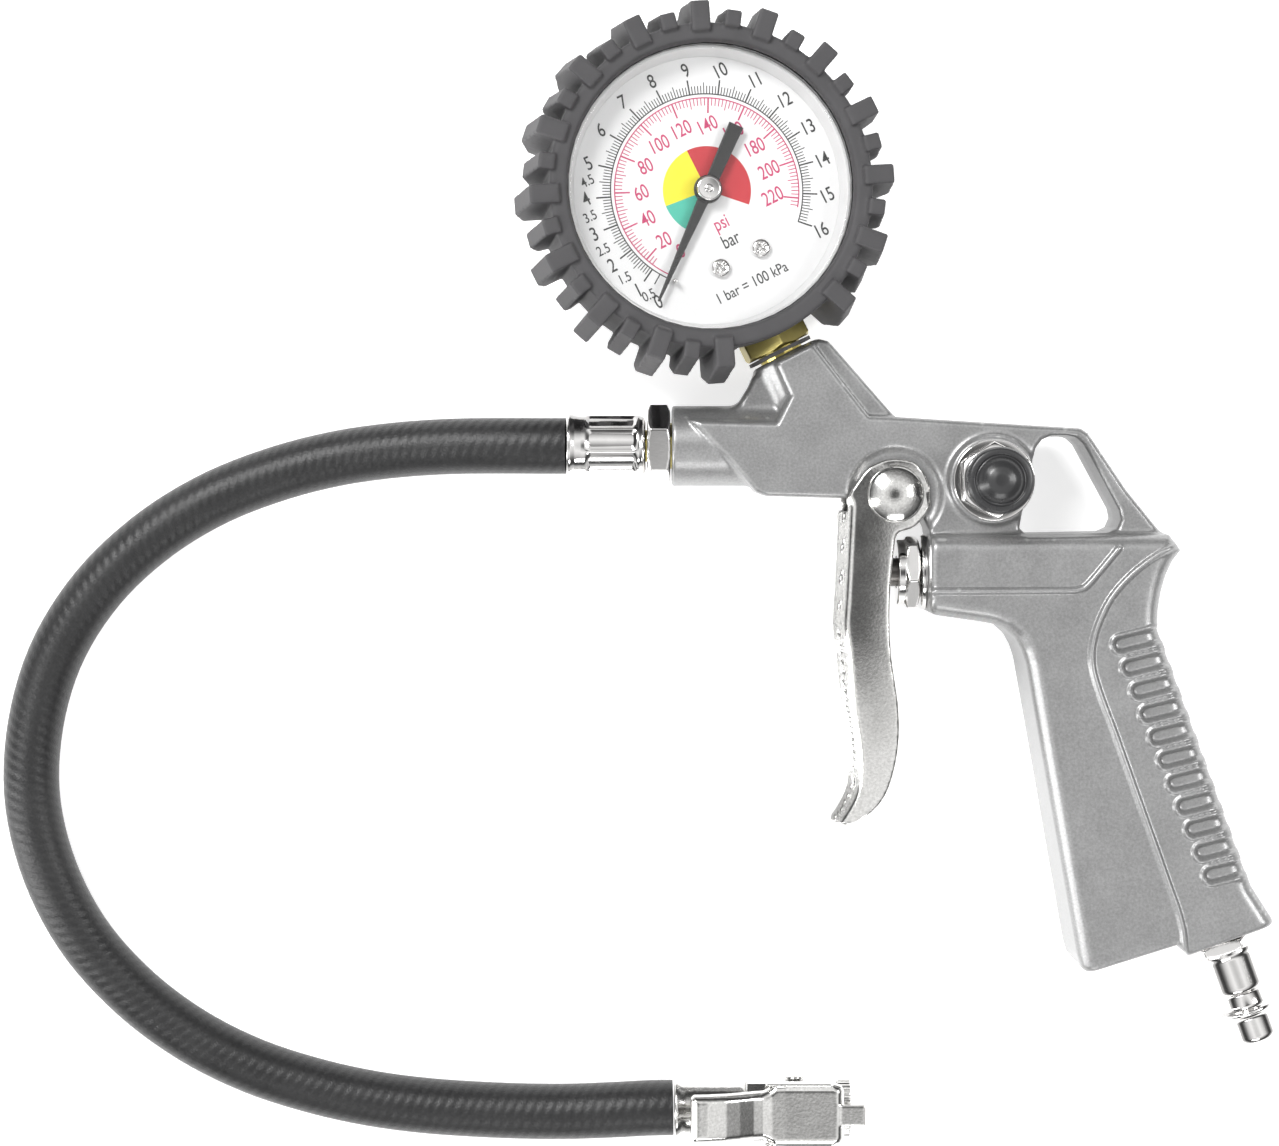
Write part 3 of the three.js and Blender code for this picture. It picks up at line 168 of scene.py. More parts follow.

# %% [markdown]
# ## A material builder
# Every finish here is one Principled shader fed by the same few effects, so one short function builds it: two
# tones that a soft cloud and flecks of the grain mix, a third painted on exposed edges as a highlight and a fourth
# painted in hollows as shade, a roughness that wanders with the cloud, and a bump from the grain. A tone given as
# one number is a grey.

# %% Finishes
def finish(name, low, high, metallic=0.0, rough=(0.4, 0.5), per_metre=4000.0, cloud=60.0, bump=0.1,
           depth=0.02,
           edge=None, edge_highlight_amount=0.0, hollow=None, coat=0.0, coat_rough=0.1, specular=0.5, fleck=0.0):
    low, high, edge, hollow = ((tone,) * 3 if isinstance(tone, float) else tone for tone in (low, high, edge,
                                                                                             hollow))
    material = bpy.data.materials.new(name)
    material.use_nodes = True
    tree = material.node_tree
    shader = tree.nodes["Principled BSDF"]
    grain = tree.nodes.new("ShaderNodeGroup")
    grain.node_tree = grain_tree
    grain.inputs["Per metre"].default_value, grain.inputs["Cloud per metre"].default_value = per_metre, cloud
    light_shade = tree.nodes.new("ShaderNodeGroup")
    light_shade.node_tree = light_shade_tree
    light_shade.inputs["Amount"].default_value = edge_highlight_amount

    def mixed(factor, a, b):
        node = tree.nodes.new("ShaderNodeMix")
        node.data_type = "RGBA"
        tree.links.new(factor, node.inputs["Factor"])
        for slot, value in ((node.inputs["A"], a), (node.inputs["B"], b)):
            if isinstance(value, bpy.types.NodeSocket):
                tree.links.new(value, slot)
            else:
                slot.default_value = (*value, 1)
        return node.outputs["Result"]

    sharp = maths(tree, "MULTIPLY_ADD", maths(tree, "SUBTRACT", grain.outputs["Height"], 0.5), 6 * fleck,
                  grain.outputs["Cloud"], clamp=True)
    colour = mixed(sharp, low, high)
    # Painted highlight: a lighter edge tone is laid on exposed convex edges.
    if edge:
        colour = mixed(light_shade.outputs["Edge"], colour, edge)
    # Painted shade: a darker hollow tone is laid in concave hollows.
    if hollow:
        colour = mixed(light_shade.outputs["Hollow_shade"], colour, hollow)
    tree.links.new(colour, shader.inputs["Base Color"])
    span = maths(tree, "MULTIPLY_ADD", grain.outputs["Cloud"], rough[1] - rough[0], rough[0])
    tree.links.new(span, shader.inputs["Roughness"])
    shader.inputs["Metallic"].default_value = metallic
    shader.inputs["Specular IOR Level"].default_value = specular
    shader.inputs["Coat Weight"].default_value = coat
    shader.inputs["Coat Roughness"].default_value = coat_rough
    if bump:
        node = tree.nodes.new("ShaderNodeBump")
        node.inputs["Strength"].default_value, node.inputs["Distance"].default_value = bump, depth * MM
        tree.links.new(grain.outputs["Height"], node.inputs["Height"])
        tree.links.new(node.outputs["Normal"], shader.inputs["Normal"])
    return material


# Painted highlight and shade: the paint's lighter edge tone is a highlight on its edges, and its darker hollow
# tone is shade in its hollows.
PAINT = finish("silver-grey casting paint", 0.235, 0.34, 0.6, (0.32, 0.40), 1900, 110, 0.5, 0.04,
               edge=0.56, edge_highlight_amount=1.0, hollow=0.12, coat=0.2, coat_rough=0.25, fleck=0.3)
# Painted shade: the plating's darker hollow tone stands for shade in its hollows.
PLATED = finish("sparkling plated steel", (0.55, 0.545, 0.53), (0.77, 0.765, 0.75), 1.0, (0.10, 0.22),
                1700, 120, 0.5, 0.035, hollow=(0.25, 0.24, 0.22), fleck=0.3)
# Painted shade: the chrome's darker hollow tone stands for shade in its hollows.
CHROME = finish("bright chrome", (0.64, 0.63, 0.62), (0.80, 0.79, 0.78), 1.0, (0.07, 0.15),
                1500, 200, 0.2, 0.015, hollow=(0.22, 0.21, 0.2))
DARK_STEEL = finish("darkened steel", (0.12, 0.115, 0.11), (0.2, 0.19, 0.18), 1.0, (0.25, 0.4), 3000, 300,
                    0.2, 0.01)
STEEL = finish("plain steel", 0.4, 0.5, 1.0, (0.3, 0.4), 2500, 200, 0.15, 0.01)
# Painted highlight: the brass's lighter edge tone stands for a highlight on its edges.
BRASS = finish("dull brass", (0.50, 0.41, 0.12), (0.68, 0.58, 0.2), 1.0, (0.26, 0.4), 2200, 260, 0.4, 0.02,
               edge=(0.75, 0.66, 0.32), edge_highlight_amount=0.8)
# Painted highlight and shade: the rubber's lighter edge tone is a highlight on its edges, and its darker hollow
# tone is shade in its hollows.
RUBBER = finish("boot rubber", (0.048, 0.047, 0.049), (0.072, 0.070, 0.073), 0.0, (0.55, 0.7), 2400, 150, 0.6,
                0.05,
                edge=(0.15, 0.147, 0.15), edge_highlight_amount=0.8, hollow=0.018, specular=0.3)
BLACK_GLOSS = finish("black glossy plastic", (0.02, 0.02, 0.021), (0.03, 0.03, 0.031), 0.0, (0.22, 0.34),
                     900, 120, 0.1, 0.01)
NEEDLE_BLACK = finish("needle black", 0.006, 0.012, 0.0, (0.4, 0.5), 3000, 200, 0.1, 0.01)
WHITE_PLASTIC = finish("white rim plastic", 0.62, 0.68, 0.0, (0.3, 0.4), 1500, 80, 0.05, 0.01)
DIAL_WHITE = finish("dial white", 0.68, 0.72, 0.0, (0.45, 0.55), 3000, 40, 0.05, 0.005)
INKS = [finish(f"{ink} ink", low, high, 0.0, (0.5, 0.6), 4000, 400, 0) for ink, low, high in (
    ("black", 0.015, 0.03), ("crimson", (0.44, 0.03, 0.115), (0.48, 0.035, 0.13)),
    ("red", (0.42, 0.014, 0.022), (0.46, 0.02, 0.03)), ("yellow", (0.70, 0.62, 0.01), (0.74, 0.66, 0.02)),
    ("teal", (0.045, 0.38, 0.28), (0.055, 0.42, 0.31)))]
print(len(bpy.data.materials), "finishes")

GLASS = bpy.data.materials.new("clear lens")
GLASS.use_nodes = True
pane = GLASS.node_tree.nodes["Principled BSDF"].inputs
for label, value in (("Base Color", (1, 1, 1, 1)), ("Metallic", 1.0), ("Roughness", 0.04), ("Alpha", 0.025)):
    pane[label].default_value = value

# %% [markdown]
# ## The hose's rubber
# The hose carries the faint impression of the cloth it was cured in: shallow diagonal ribs, a little
# lighter where the light grazes them. The ribs are a wave that runs slantwise along the hose, laid out by
# the curve's own length and girth, and a fine grain breaks them.

# %% Hose rubber
HOSE_RUBBER = finish("hose rubber", (0.008, 0.008, 0.0083), (0.018, 0.018, 0.0185), 0.0, (0.30, 0.46),
                     1800, 90, 0, specular=0.42, fleck=0.3)
tree = HOSE_RUBBER.node_tree
spread = tree.nodes.new("ShaderNodeTexCoord").outputs["UV"]
split = tree.nodes.new("ShaderNodeSeparateXYZ")
tree.links.new(spread, split.inputs[0])
along, girth = split.outputs["X"], split.outputs["Y"]
RIBS_ALONG, RIBS_ROUND, RIB_HEIGHT = 150.0, 7.0, 0.38
phase = maths(tree, "MULTIPLY_ADD", along, RIBS_ALONG, maths(tree, "MULTIPLY", girth, RIBS_ROUND))
rib = maths(tree, "SINE", maths(tree, "MULTIPLY", phase, 2 * math.pi))
speckle = noise(tree, 2600.0, 3.0, 0.6)
height = maths(tree, "MULTIPLY_ADD", rib, RIB_HEIGHT, speckle)
bump = tree.nodes.new("ShaderNodeBump")
bump.inputs["Strength"].default_value, bump.inputs["Distance"].default_value = 0.8, 0.1 * MM
tree.links.new(height, bump.inputs["Height"])
tree.links.new(bump.outputs["Normal"], tree.nodes["Principled BSDF"].inputs["Normal"])

# %% [markdown]
# ## The hose
# One curve carries the hose: straight out of its ferrule, down on to the bench in the first few diameters,
# round a wide open C, and up a little into the chuck's flare. A curve object with a round bevel keeps its
# girth everywhere, and its two ends hide inside the metal.

# %% Hose
HOSE_DIAMETER = 12.0
BENCH = -7.95
CHUCK_AXIS = -6.35
ROUTE = [
    (-70.0, 10.3, 0), (-74.5, 10.3, -0.1), (-84.7, 10.35, -1.1), (-95.5, 10.2, -3.0), (-107.4, 9.4, -5.4),
    (-120.1, 7.6, -7.2), (-133.6, 4.1, BENCH), (-147.6, -1.5, BENCH), (-160.8, -9.8, BENCH),
    (-172.4, -20.9, BENCH), (-181.1, -34.6, BENCH), (-185.8, -50.0, BENCH), (-186.7, -66.2, BENCH),
    (-183.1, -82.0, BENCH), (-175.8, -96.4, BENCH), (-165.2, -108.5, BENCH), (-152.8, -118.0, BENCH),
    (-139.4, -124.9, BENCH), (-125.9, -129.4, BENCH), (-113.1, -132.3, BENCH), (-101.2, -133.9, BENCH),
    (-90.1, -134.7, BENCH), (-79.8, -135.1, BENCH + 0.1), (-69.9, -135.1, BENCH + 0.5),
    (-60.0, -134.6, BENCH + 1.2), (-52.0, -134.1, CHUCK_AXIS), (-46.9, -134.0, CHUCK_AXIS)]


def along_route(points, spacing):
    """Points evenly spaced along a smooth curve through the given ones (centripetal Catmull-Rom)."""
    given = [np.array(point, float) for point in points]
    given = [2 * given[0] - given[1], *given, 2 * given[-1] - given[-2]]
    fine = []
    for p0, p1, p2, p3 in zip(given, given[1:], given[2:], given[3:]):
        knots = np.cumsum([0, *(np.linalg.norm(b - a) ** 0.5 for a, b in ((p0, p1), (p1, p2), (p2, p3)))])
        for t in np.linspace(knots[1], knots[2], 16, endpoint=False):
            def lerp(a, b, i, j):
                return (a * (knots[j] - t) + b * (t - knots[i])) / (knots[j] - knots[i])
            a1, a2, a3 = lerp(p0, p1, 0, 1), lerp(p1, p2, 1, 2), lerp(p2, p3, 2, 3)
            b1, b2 = lerp(a1, a2, 0, 2), lerp(a2, a3, 1, 3)
            fine.append(lerp(b1, b2, 1, 2))
    fine = np.array([*fine, given[-2]])
    reach = np.concatenate([[0], np.cumsum(np.linalg.norm(np.diff(fine, axis=0), axis=1))])
    steps = np.linspace(0, reach[-1], int(reach[-1] / spacing) + 1)
    return np.stack([np.interp(steps, reach, fine[:, k]) for k in range(3)], axis=1), reach[-1]


hose_points, hose_length = along_route(ROUTE, 3.0)
curve = bpy.data.curves.new("rubber_hose", "CURVE")
curve.dimensions = "3D"
curve.bevel_depth, curve.bevel_resolution = HOSE_DIAMETER / 2 * MM, 10
spline = curve.splines.new("POLY")
spline.points.add(len(hose_points) - 1)
for knot, point in zip(spline.points, hose_points):
    knot.co = (*(GUN @ (Vector(point) * MM)), 1)
spline.use_smooth = True
hose = bpy.data.objects.new("rubber_hose", curve)
bpy.context.scene.collection.objects.link(hose)
curve.materials.append(HOSE_RUBBER)
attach(hose, "gun")
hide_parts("hose")
print("hose", round(hose_length), "mm long")

# %% [markdown]
# ## Making smooth solids
# Cast and moulded pieces have no sharp edges: every corner is a fillet. A distance field makes those
# easily. Each shape is a function that says how far a point is from its surface, negative inside, so
# shapes join with a fillet by a smooth minimum and are cut by a maximum. The surface is then meshed where
# the field is zero, with one vertex in each cell that it passes through.

# %% Distance fields
def line_distance(points, x, y):
    """Distance to an open line of straight stretches, over arrays of x and y."""
    nearest = np.full(np.broadcast(x, y).shape, 1e9, np.float32)
    for (ax, ay), (bx, by) in zip(points, points[1:]):
        ex, ey = bx - ax, by - ay
        t = np.clip(((x - ax) * ex + (y - ay) * ey) / (ex * ex + ey * ey), 0, 1)
        nearest = np.minimum(nearest, (x - ax - t * ex) ** 2 + (y - ay - t * ey) ** 2)
    return np.sqrt(nearest)


def outline_field(points, x, y):
    """Signed distance to a closed outline, negative inside."""
    points = [*points, points[0]]
    inside = np.zeros(np.broadcast(x, y).shape, bool)
    for (ax, ay), (bx, by) in zip(points, points[1:]):
        if by != ay:
            inside ^= ((ay > y) != (by > y)) & (x < (bx - ax) * (y - ay) / (by - ay) + ax)
    return np.where(inside, -1, 1) * line_distance(points, x, y)


def slab(side, face, rounding):
    """An outline's distance and a face's distance as one solid with rounded edges."""
    a, b = side + rounding, face + rounding
    return np.minimum(np.maximum(a, b), 0) + np.hypot(np.maximum(a, 0), np.maximum(b, 0)) - rounding


def join(a, b, fillet):
    meet = np.maximum(fillet - np.abs(a - b), 0) / fillet
    return np.minimum(a, b) - meet * meet * fillet / 4


def cut(a, b, fillet=0.4):
    return -join(-a, b, fillet)


def both(a, b, fillet=0.4):
    return -join(-a, -b, fillet)


def smooth_line(points, steps=6):
    """An open line through points, rounded as a Catmull-Rom curve."""
    padded = [points[0], *points, points[-1]]
    result = []
    for p0, p1, p2, p3 in zip(padded, padded[1:], padded[2:], padded[3:]):
        for i in range(steps):
            t = i / steps
            result.append(tuple(0.5 * (2 * b + (c - a) * t + (2 * a - 5 * b + 4 * c - d) * t * t
                                + (3 * b - a - 3 * c + d) * t ** 3) for a, b, c, d in zip(p0, p1, p2, p3)))
    return [*result, tuple(points[-1])]


# %% From a field to a mesh
def skin(field, low, step):
    """Vertices and quads of a field's zero surface."""
    solid = field < 0
    cells = tuple(n - 1 for n in field.shape)
    count = np.zeros(cells, np.uint8)
    corners = [(i, j, k) for i in (0, 1) for j in (0, 1) for k in (0, 1)]
    for i, j, k in corners:
        count += solid[i:i + cells[0], j:j + cells[1], k:k + cells[2]]
    crossed = np.argwhere((count > 0) & (count < 8))
    index = np.full(cells, -1, np.int32)
    index[tuple(crossed.T)] = np.arange(len(crossed))
    value = {corner: field[tuple((crossed + corner).T)].astype(np.float64) for corner in corners}
    total, hits = np.zeros((len(crossed), 3)), np.zeros(len(crossed))
    for a in corners:
        for axis in range(3):
            if a[axis]:
                continue
            b = tuple(1 if k == axis else a[k] for k in range(3))
            crosses = (value[a] < 0) != (value[b] < 0)
            gap = np.where(crosses, value[a] - value[b], 1.0)
            place = np.repeat(np.array([a], float), len(crossed), axis=0)
            place[:, axis] += value[a] / gap
            total[crosses] += place[crosses]
            hits += crosses
    vertices = (crossed + total / hits[:, None]) * step + np.array(low)
    quads = []
    for axis in range(3):
        u, v = (axis + 1) % 3, (axis + 2) % 3
        lower, upper = [slice(1, -1)] * 3, [slice(1, -1)] * 3
        lower[axis], upper[axis] = slice(0, -1), slice(1, None)
        first, second = solid[tuple(lower)], solid[tuple(upper)]
        spots = np.argwhere(first != second)
        outward = first[tuple(spots.T)]
        spots[:, u] += 1
        spots[:, v] += 1
        ring = []
        for du, dv in ((-1, -1), (0, -1), (0, 0), (-1, 0)):
            near = spots.copy()
            near[:, u] += du
            near[:, v] += dv
            ring.append(index[tuple(near.T)])
        quad = np.stack(ring, axis=1)
        quad[~outward] = quad[~outward][:, ::-1]
        quads.append(quad)
    return vertices, np.concatenate(quads)


def new_piece(name, body, materials, vertices, faces, place, replaces=(), which=None):
    """A mesh object from millimetre points, placed by a matrix, riding on a body."""
    mesh = bpy.data.meshes.new(name)
    points = np.asarray(vertices, float) * MM
    sizes = np.array([len(face) for face in faces], np.int32)
    loops = np.concatenate(faces).astype(np.int32)
    mesh.vertices.add(len(points))
    mesh.vertices.foreach_set("co", points.ravel())
    mesh.loops.add(len(loops))
    mesh.loops.foreach_set("vertex_index", loops)
    mesh.polygons.add(len(sizes))
    mesh.polygons.foreach_set("loop_start", (np.cumsum(sizes) - sizes).astype(np.int32))
    mesh.update(calc_edges=True)
    mesh.validate()
    mesh.polygons.foreach_set("use_smooth", np.ones(len(mesh.polygons), bool))
    for material in materials:
        mesh.materials.append(material)
    if which is not None:
        mesh.polygons.foreach_set("material_index", np.asarray(which, np.int32))
    piece = bpy.data.objects.new(name, mesh)
    bpy.context.scene.collection.objects.link(piece)
    piece.matrix_world = place
    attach(piece, body)
    if replaces:
        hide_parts(*replaces)
    return piece


def field_piece(name, body, material, low, high, step, distance, place, replaces=()):
    """Mesh a distance function over a box, in millimetres of the piece's own frame."""
    counts = [int(math.ceil((b - a) / step)) + 1 for a, b in zip(low, high)]
    x, y, z = (np.float32(a) + np.float32(step) * np.arange(n, dtype=np.float32).reshape(shape)
               for a, n, shape in zip(low, counts, ((-1, 1, 1), (1, -1, 1), (1, 1, -1))))
    field = np.broadcast_to(distance(x, y, z), counts)
    vertices, quads = skin(field, low, step)
    print(name, len(vertices), "vertices")
    return new_piece(name, body, [material], vertices, quads, place, replaces)


# %% [markdown]
# ## Turned pieces
# Most fittings came off a lathe. A profile of radius and height is rounded at its corners, as a turner
# breaks an edge with a file, and swept about z. The small fillets catch the light that a real one does.

# %% Turning
def broken_edges(profile, size, closed):
    """The profile with each corner replaced by a short arc."""
    points = [np.array(point, float) for point in profile]
    result = []
    for i, here in enumerate(points):
        ends = not closed and i in (0, len(points) - 1)
        before, after = points[i - 1], points[(i + 1) % len(points)]
        reach = min(size, np.linalg.norm(before - here) * 0.45, np.linalg.norm(after - here) * 0.45)
        if ends or reach < 1e-4:
            result.append(here)
            continue
        a = here + (before - here) / np.linalg.norm(before - here) * reach
        b = here + (after - here) / np.linalg.norm(after - here) * reach
        result += [(1 - t) ** 2 * a + 2 * t * (1 - t) * here + t * t * b for t in (0, 0.33, 0.67, 1)]
    return result


def turned(profile, edge=0.15, sides=96, squeeze=None):
    """Vertices and faces of a profile swept about z; it is a closed ring when it misses the axis."""
    closed = profile[0][0] > 0
    line = broken_edges(profile, edge, closed)
    angles = np.arange(sides) * 2 * math.pi / sides
    vertices = []
    for r, z in line:
        for a in angles:
            radius = squeeze(r, z, a) if squeeze else r
            vertices.append((radius * math.cos(a), radius * math.sin(a), z))
    rows = len(line) if closed else len(line) - 1
    faces = []
    for i in range(rows):
        j = (i + 1) % len(line)
        for k in range(sides):
            m = (k + 1) % sides
            faces.append((i * sides + k, i * sides + m, j * sides + m, j * sides + k))
    return vertices, faces


def turned_piece(name, body, material, profile, place, replaces=(), edge=0.15, sides=96, squeeze=None):
    vertices, faces = turned(profile, edge, sides, squeeze)
    piece = new_piece(name, body, [material], vertices, faces, place, replaces)
    work = bmesh.new()
    work.from_mesh(piece.data)
    bmesh.ops.remove_doubles(work, verts=work.verts, dist=1e-7)
    bmesh.ops.recalc_face_normals(work, faces=work.faces)
    work.to_mesh(piece.data)
    work.free()
    piece.data.set_sharp_from_angle(angle=math.radians(50))
    return piece


def two_headed(head):
    """The profile of a rivet with the same head at both ends."""
    return [*[(r, -z) for r, z in reversed(head)], *head]


# %% [markdown]
# ## The die casting
# The body is one casting. A round barrel runs into a flat-sided frame, the gauge stands on a hump with a
# thin web before and behind it, and the thicker grip carries the valve across its top. Its faces have
# raised beads and a row of finger grooves, which only change how thick it is, so they are written as a map
# of half thickness over the outline.

# %% Casting: outlines
BARREL_Y, BARREL_RADIUS, MUZZLE_X = 10.3, 8.6, -47.3
FRAME_HALF, GRIP_HALF, WEB_HALF = 9.4, 14.0, 4.6
FLATS = [(-43.4, 15.7), (-35.3, 7.1), (-29.5, 0.4), (-27.3, -0.4), (-9.5, -0.9), (-2, -5), (6, -4.9),
         (7.5, -8.2),
         (30, -12), (57, -11), (57.4, -9.4), (49.0, 0.9), (40.9, 12.9), (39.3, 14.0), (0.2, 16.4),
         (-5.6, 16.6), (-17.6, 32.0), (-25.2, 28.2), (-25.2, 27.1), (-22.4, 20.9), (-25.2, 15.3)]
FRONT_WEB = [(-33.8, 12), (-33.8, 18.3), (-31, 22.8), (-30.1, 24.9), (-28, 26.7), (-20, 30.9), (-18, 12)]
REAR_WEB = [(-18, 31.9), (-15.9, 33.1), (-13.8, 32.5), (0.2, 16.6), (0.2, 12), (-12, 12)]
GRIP_SIDES = [(2, -8.6), (57.6, -8.4), (60.2, -11.8), (58.4, -14.0), (57.0, -17.0), (56.0, -20.6),
              (55.4, -24.4),
              (55.3, -28.2), (75.5, -83.0), (80.6, -90.9), (90, -125), (43.5, -124.0), (38.9, -99.0),
              (27.5, -35.7), (26.6, -33.0), (25.2, -30.4), (23.0, -28.4), (20.6, -27.4), (18.0, -26.9),
              (2, -24.6)]
GRIP_END = [(7.2, 10), (7.2, -60), (38.5, -99.2), (39.2, -100.6), (40.6, -101.2), (42.6, -100.8),
            (59.6, -95.4),
            (61.9, -97.6), (80.6, -90.9), (100, -84), (100, 10)]
LOOP_HOLE = [(31.4, 11.2), (33.4, 12.0), (36.1, 12.0), (38.0, 11.6), (39.5, 10.2), (46.9, -3.4), (47.3, -5.2),
             (46.6, -6.9), (44.7, -7.7), (28, -8.0), (26.9, -7), (27.6, -3.2), (29.2, 2), (29.6, 7),
             (30.2, 9.6)]
BEAD_FRONT = [(46.7, -11.2), (42.6, -16.2), (40.4, -18.8), (39.2, -19.8), (37.4, -20.2), (6.2, -20.4)]
BEAD_BACK = smooth_line([(58.9, -10.6), (54.2, -13.1), (49.2, -17.0), (45.0, -21.9), (42.3, -27.5),
                         (41.1, -32.5),
                         (41.3, -37.0), (43.0, -42.6), (45.6, -49.4)])
BEAD_BACK += [(59.6, -88.2), (60.6, -92.0), (61.3, -98.5)]
BEAD_HEIGHT = 0.75
GROOVES, GROOVE_RADIUS, GROOVE_DEPTH, GROOVE_LENGTH, GROOVE_BITE = 11, 1.55, 1.3, 14, 11.8
GROOVE_FIRST, GROOVE_LAST = (47.2, -31.6), (66.6, -80.4)
GROOVE_LEAN = (math.cos(math.radians(14)), math.sin(math.radians(14)))
GROOVE_PLACES = [tuple(a + (b - a) * (i / (GROOVES - 1)) for a, b in zip(GROOVE_FIRST, GROOVE_LAST))
                 for i in range(GROOVES)]


# %% Casting: the field
def ramp(value, low, high):
    t = np.clip((value - low) / (high - low), 0, 1)
    return t * t * (3 - 2 * t)


def grip_half(x, y):
    """Half thickness of the grip over its outline, with beads and grooves."""
    half = np.full(np.broadcast(x, y).shape, GRIP_HALF, np.float32)
    for bead in (BEAD_FRONT, BEAD_BACK):
        half += BEAD_HEIGHT * (1 - ramp(line_distance(bead, x, y), 0.2, 0.85))
    for start in GROOVE_PLACES:
        end = [a + GROOVE_LENGTH * lean for a, lean in zip(start, GROOVE_LEAN)]
        away = line_distance([start, end], x, y)
        half -= GROOVE_DEPTH * (1 - ramp(away, GROOVE_RADIUS - 0.65, GROOVE_RADIUS + 0.05))
        half += 0.45 * (1 - ramp(np.abs(away - GROOVE_RADIUS - 0.5), 0.1, 0.55))
    return half


def casting(x, y, z):
    deep = np.abs(z)
    frame_part = slab(outline_field(FLATS, x, y), deep - FRAME_HALF, 1.2)
    barrel = both(np.hypot(y - BARREL_Y, z) - BARREL_RADIUS, np.maximum(MUZZLE_X - x, x + 22), 0.6)
    body = join(frame_part, barrel, 0.9)
    sin, cos = math.sin(math.radians(STEM_ANGLE)), math.cos(math.radians(STEM_ANGLE))
    up = (x + 23.3) * -sin + (y - 30.1) * cos
    over = (x + 23.3) * cos + (y - 30.1) * sin
    boss = both(np.hypot(over, z) - 7.7, np.maximum(up + 0.4, -up - 19), 0.8)
    body = join(body, slab(outline_field(FRONT_WEB, x, y), deep - WEB_HALF, 1.4), 1.6)
    body = join(body, boss, 1.2)
    body = join(body, slab(outline_field(REAR_WEB, x, y), deep - WEB_HALF, 0.9), 0.8)
    body = join(body, np.hypot(x, y) - 6.5 + np.maximum(deep - FRAME_HALF, 0) * 4, 0.5)
    body = cut(body, both(np.hypot(x, y) - 9.7, 8.2 - deep, 1.6), 1.4)
    bleed = both(np.hypot(x - 20.6, y - 3.0) - 9.3, np.maximum(z - 10.9, -z), 0.8)
    body = join(body, bleed, 1.6)

    sides = outline_field(GRIP_SIDES, x, y)
    for gx, gy in GROOVE_PLACES:
        bite = np.hypot(x - gx - GROOVE_BITE * GROOVE_LEAN[0],
                        y - gy - GROOVE_BITE * GROOVE_LEAN[1]) - GROOVE_RADIUS
        sides = cut(sides, bite, 1.2)
    grip = slab(sides, deep - grip_half(x, y), 3.4)
    grip = both(grip, outline_field(GRIP_END, x, y), 1.4)
    body = join(body, grip, 1.2)
    body = cut(body, outline_field(LOOP_HOLE, x, y) - 0.25 - deep * 0.03, 1.1)
    return hollows(body, x, y, z)


def hollows(body, x, y, z):
    """The bores that other pieces sit in."""
    def bore(radius, place, low, high):
        inverse = (GUN.inverted() @ place).inverted()
        a, b, c = ([inverse[row][k] for k in range(3)] + [inverse[row][3] / MM] for row in range(3))
        u, v, w = (p[0] * x + p[1] * y + p[2] * z + p[3] for p in (a, b, c))
        return np.maximum(np.hypot(u, v) - radius, np.maximum(low - w, w - high))
    holes = [bore(5.3, MUZZLE, -11, 2), bore(5.2, STEM, -2, 10), bore(6.2, BLEED, -4, 20),
             bore(5.5, VALVE, -2, 38), bore(3.15, GUN, -20, 20), bore(5.4, INLET, -10, 3),
             bore(1.6, at(58.9, -95.6) @ turn(INLET_ANGLE, "Z") @ turn(90, "X"), -3, 3)]
    for hole in holes:
        body = np.maximum(body, -hole)
    return body


# %% Casting: the mesh
STEP = 0.36
field_piece("die_casting", "gun", PAINT, (-49.5, -103, -16.2), (83, 42, 16.2), STEP, casting, GUN,
            ["gun_body"])

# %% [markdown]
# ## The trigger
# The trigger is pressed from one strip: a web down its front, folded into two cheeks that end in round
# eyes, then nickel plated over the press grain. Each fold is a sloping strip beside the web, the cheeks are
# slightly crowned, and they draw together towards the tip, which bends the reflections along them.

# %% Trigger
TRIGGER_FRONT = smooth_line([(-10.9, -2.8), (-11.8, -20.9), (-12.1, -29), (-10.4, -39.3), (-8, -52),
                             (-7.9, -62),
                             (-11.4, -69.0)])
TRIGGER_BACK = smooth_line([(-9.4, -70.9), (-6.2, -69.4), (-1.9, -64.7), (0.6, -56.1), (0.9, -46.2),
                            (-0.9, -33.1),
                            (-1.1, -20.9), (0.2, -7.4)])
TRIGGER_NOSE = [(px - np.interp(py, [-66, -46, -34], [2.3, 2.6, 1.4]), py) for px, py in TRIGGER_FRONT]
TRIGGER_SIDE = [(7.0, -2.4), (3.5, 6.0), (-5.0, 5.4), (-9.2, 1.0), (-10.8, -1.6), *TRIGGER_NOSE[1:],
                (-13.2, -70.4), *TRIGGER_BACK, (3.4, -6.4)]
TRIGGER_FOLD = [(-30, 20), (-30, -2.6), *TRIGGER_NOSE, (-16, -73), (-11, -90), (60, -90), (60, 20)]
CHEEK_OUTER, CHEEK_INNER, SHEET = 10.2, 8.6, 1.6
NOSE_WIDTH, NOSE_DROP, CROWN, TIP_NARROWING = 3.4, 3.8, 0.008, 4.6


def trigger(x, y, z):
    deep = np.abs(z) + TIP_NARROWING * np.clip((-24 - y) / 46, 0, 1) ** 2
    side = join(outline_field(TRIGGER_SIDE, x, y), np.hypot(x, y) - 7.5, 2.5)
    fold = outline_field(TRIGGER_FOLD, x, y)
    cheek = deep - CHEEK_OUTER + CROWN * (fold + 7.5) ** 2
    nose = (NOSE_DROP * fold + NOSE_WIDTH * (deep - CHEEK_OUTER + NOSE_DROP)) / math.hypot(NOSE_DROP,
                                                                                           NOSE_WIDTH)
    outer = both(both(slab(fold, cheek, 0.8), nose, 0.5), side, 0.5)
    hollow = slab(fold + SHEET, deep - CHEEK_INNER, 1.6)
    hollow = np.minimum(hollow, np.maximum(deep - CHEEK_INNER, -3.4 - y))
    lever = cut(outer, hollow, 0.3)
    return np.maximum(lever, 3.1 - np.hypot(x, y))


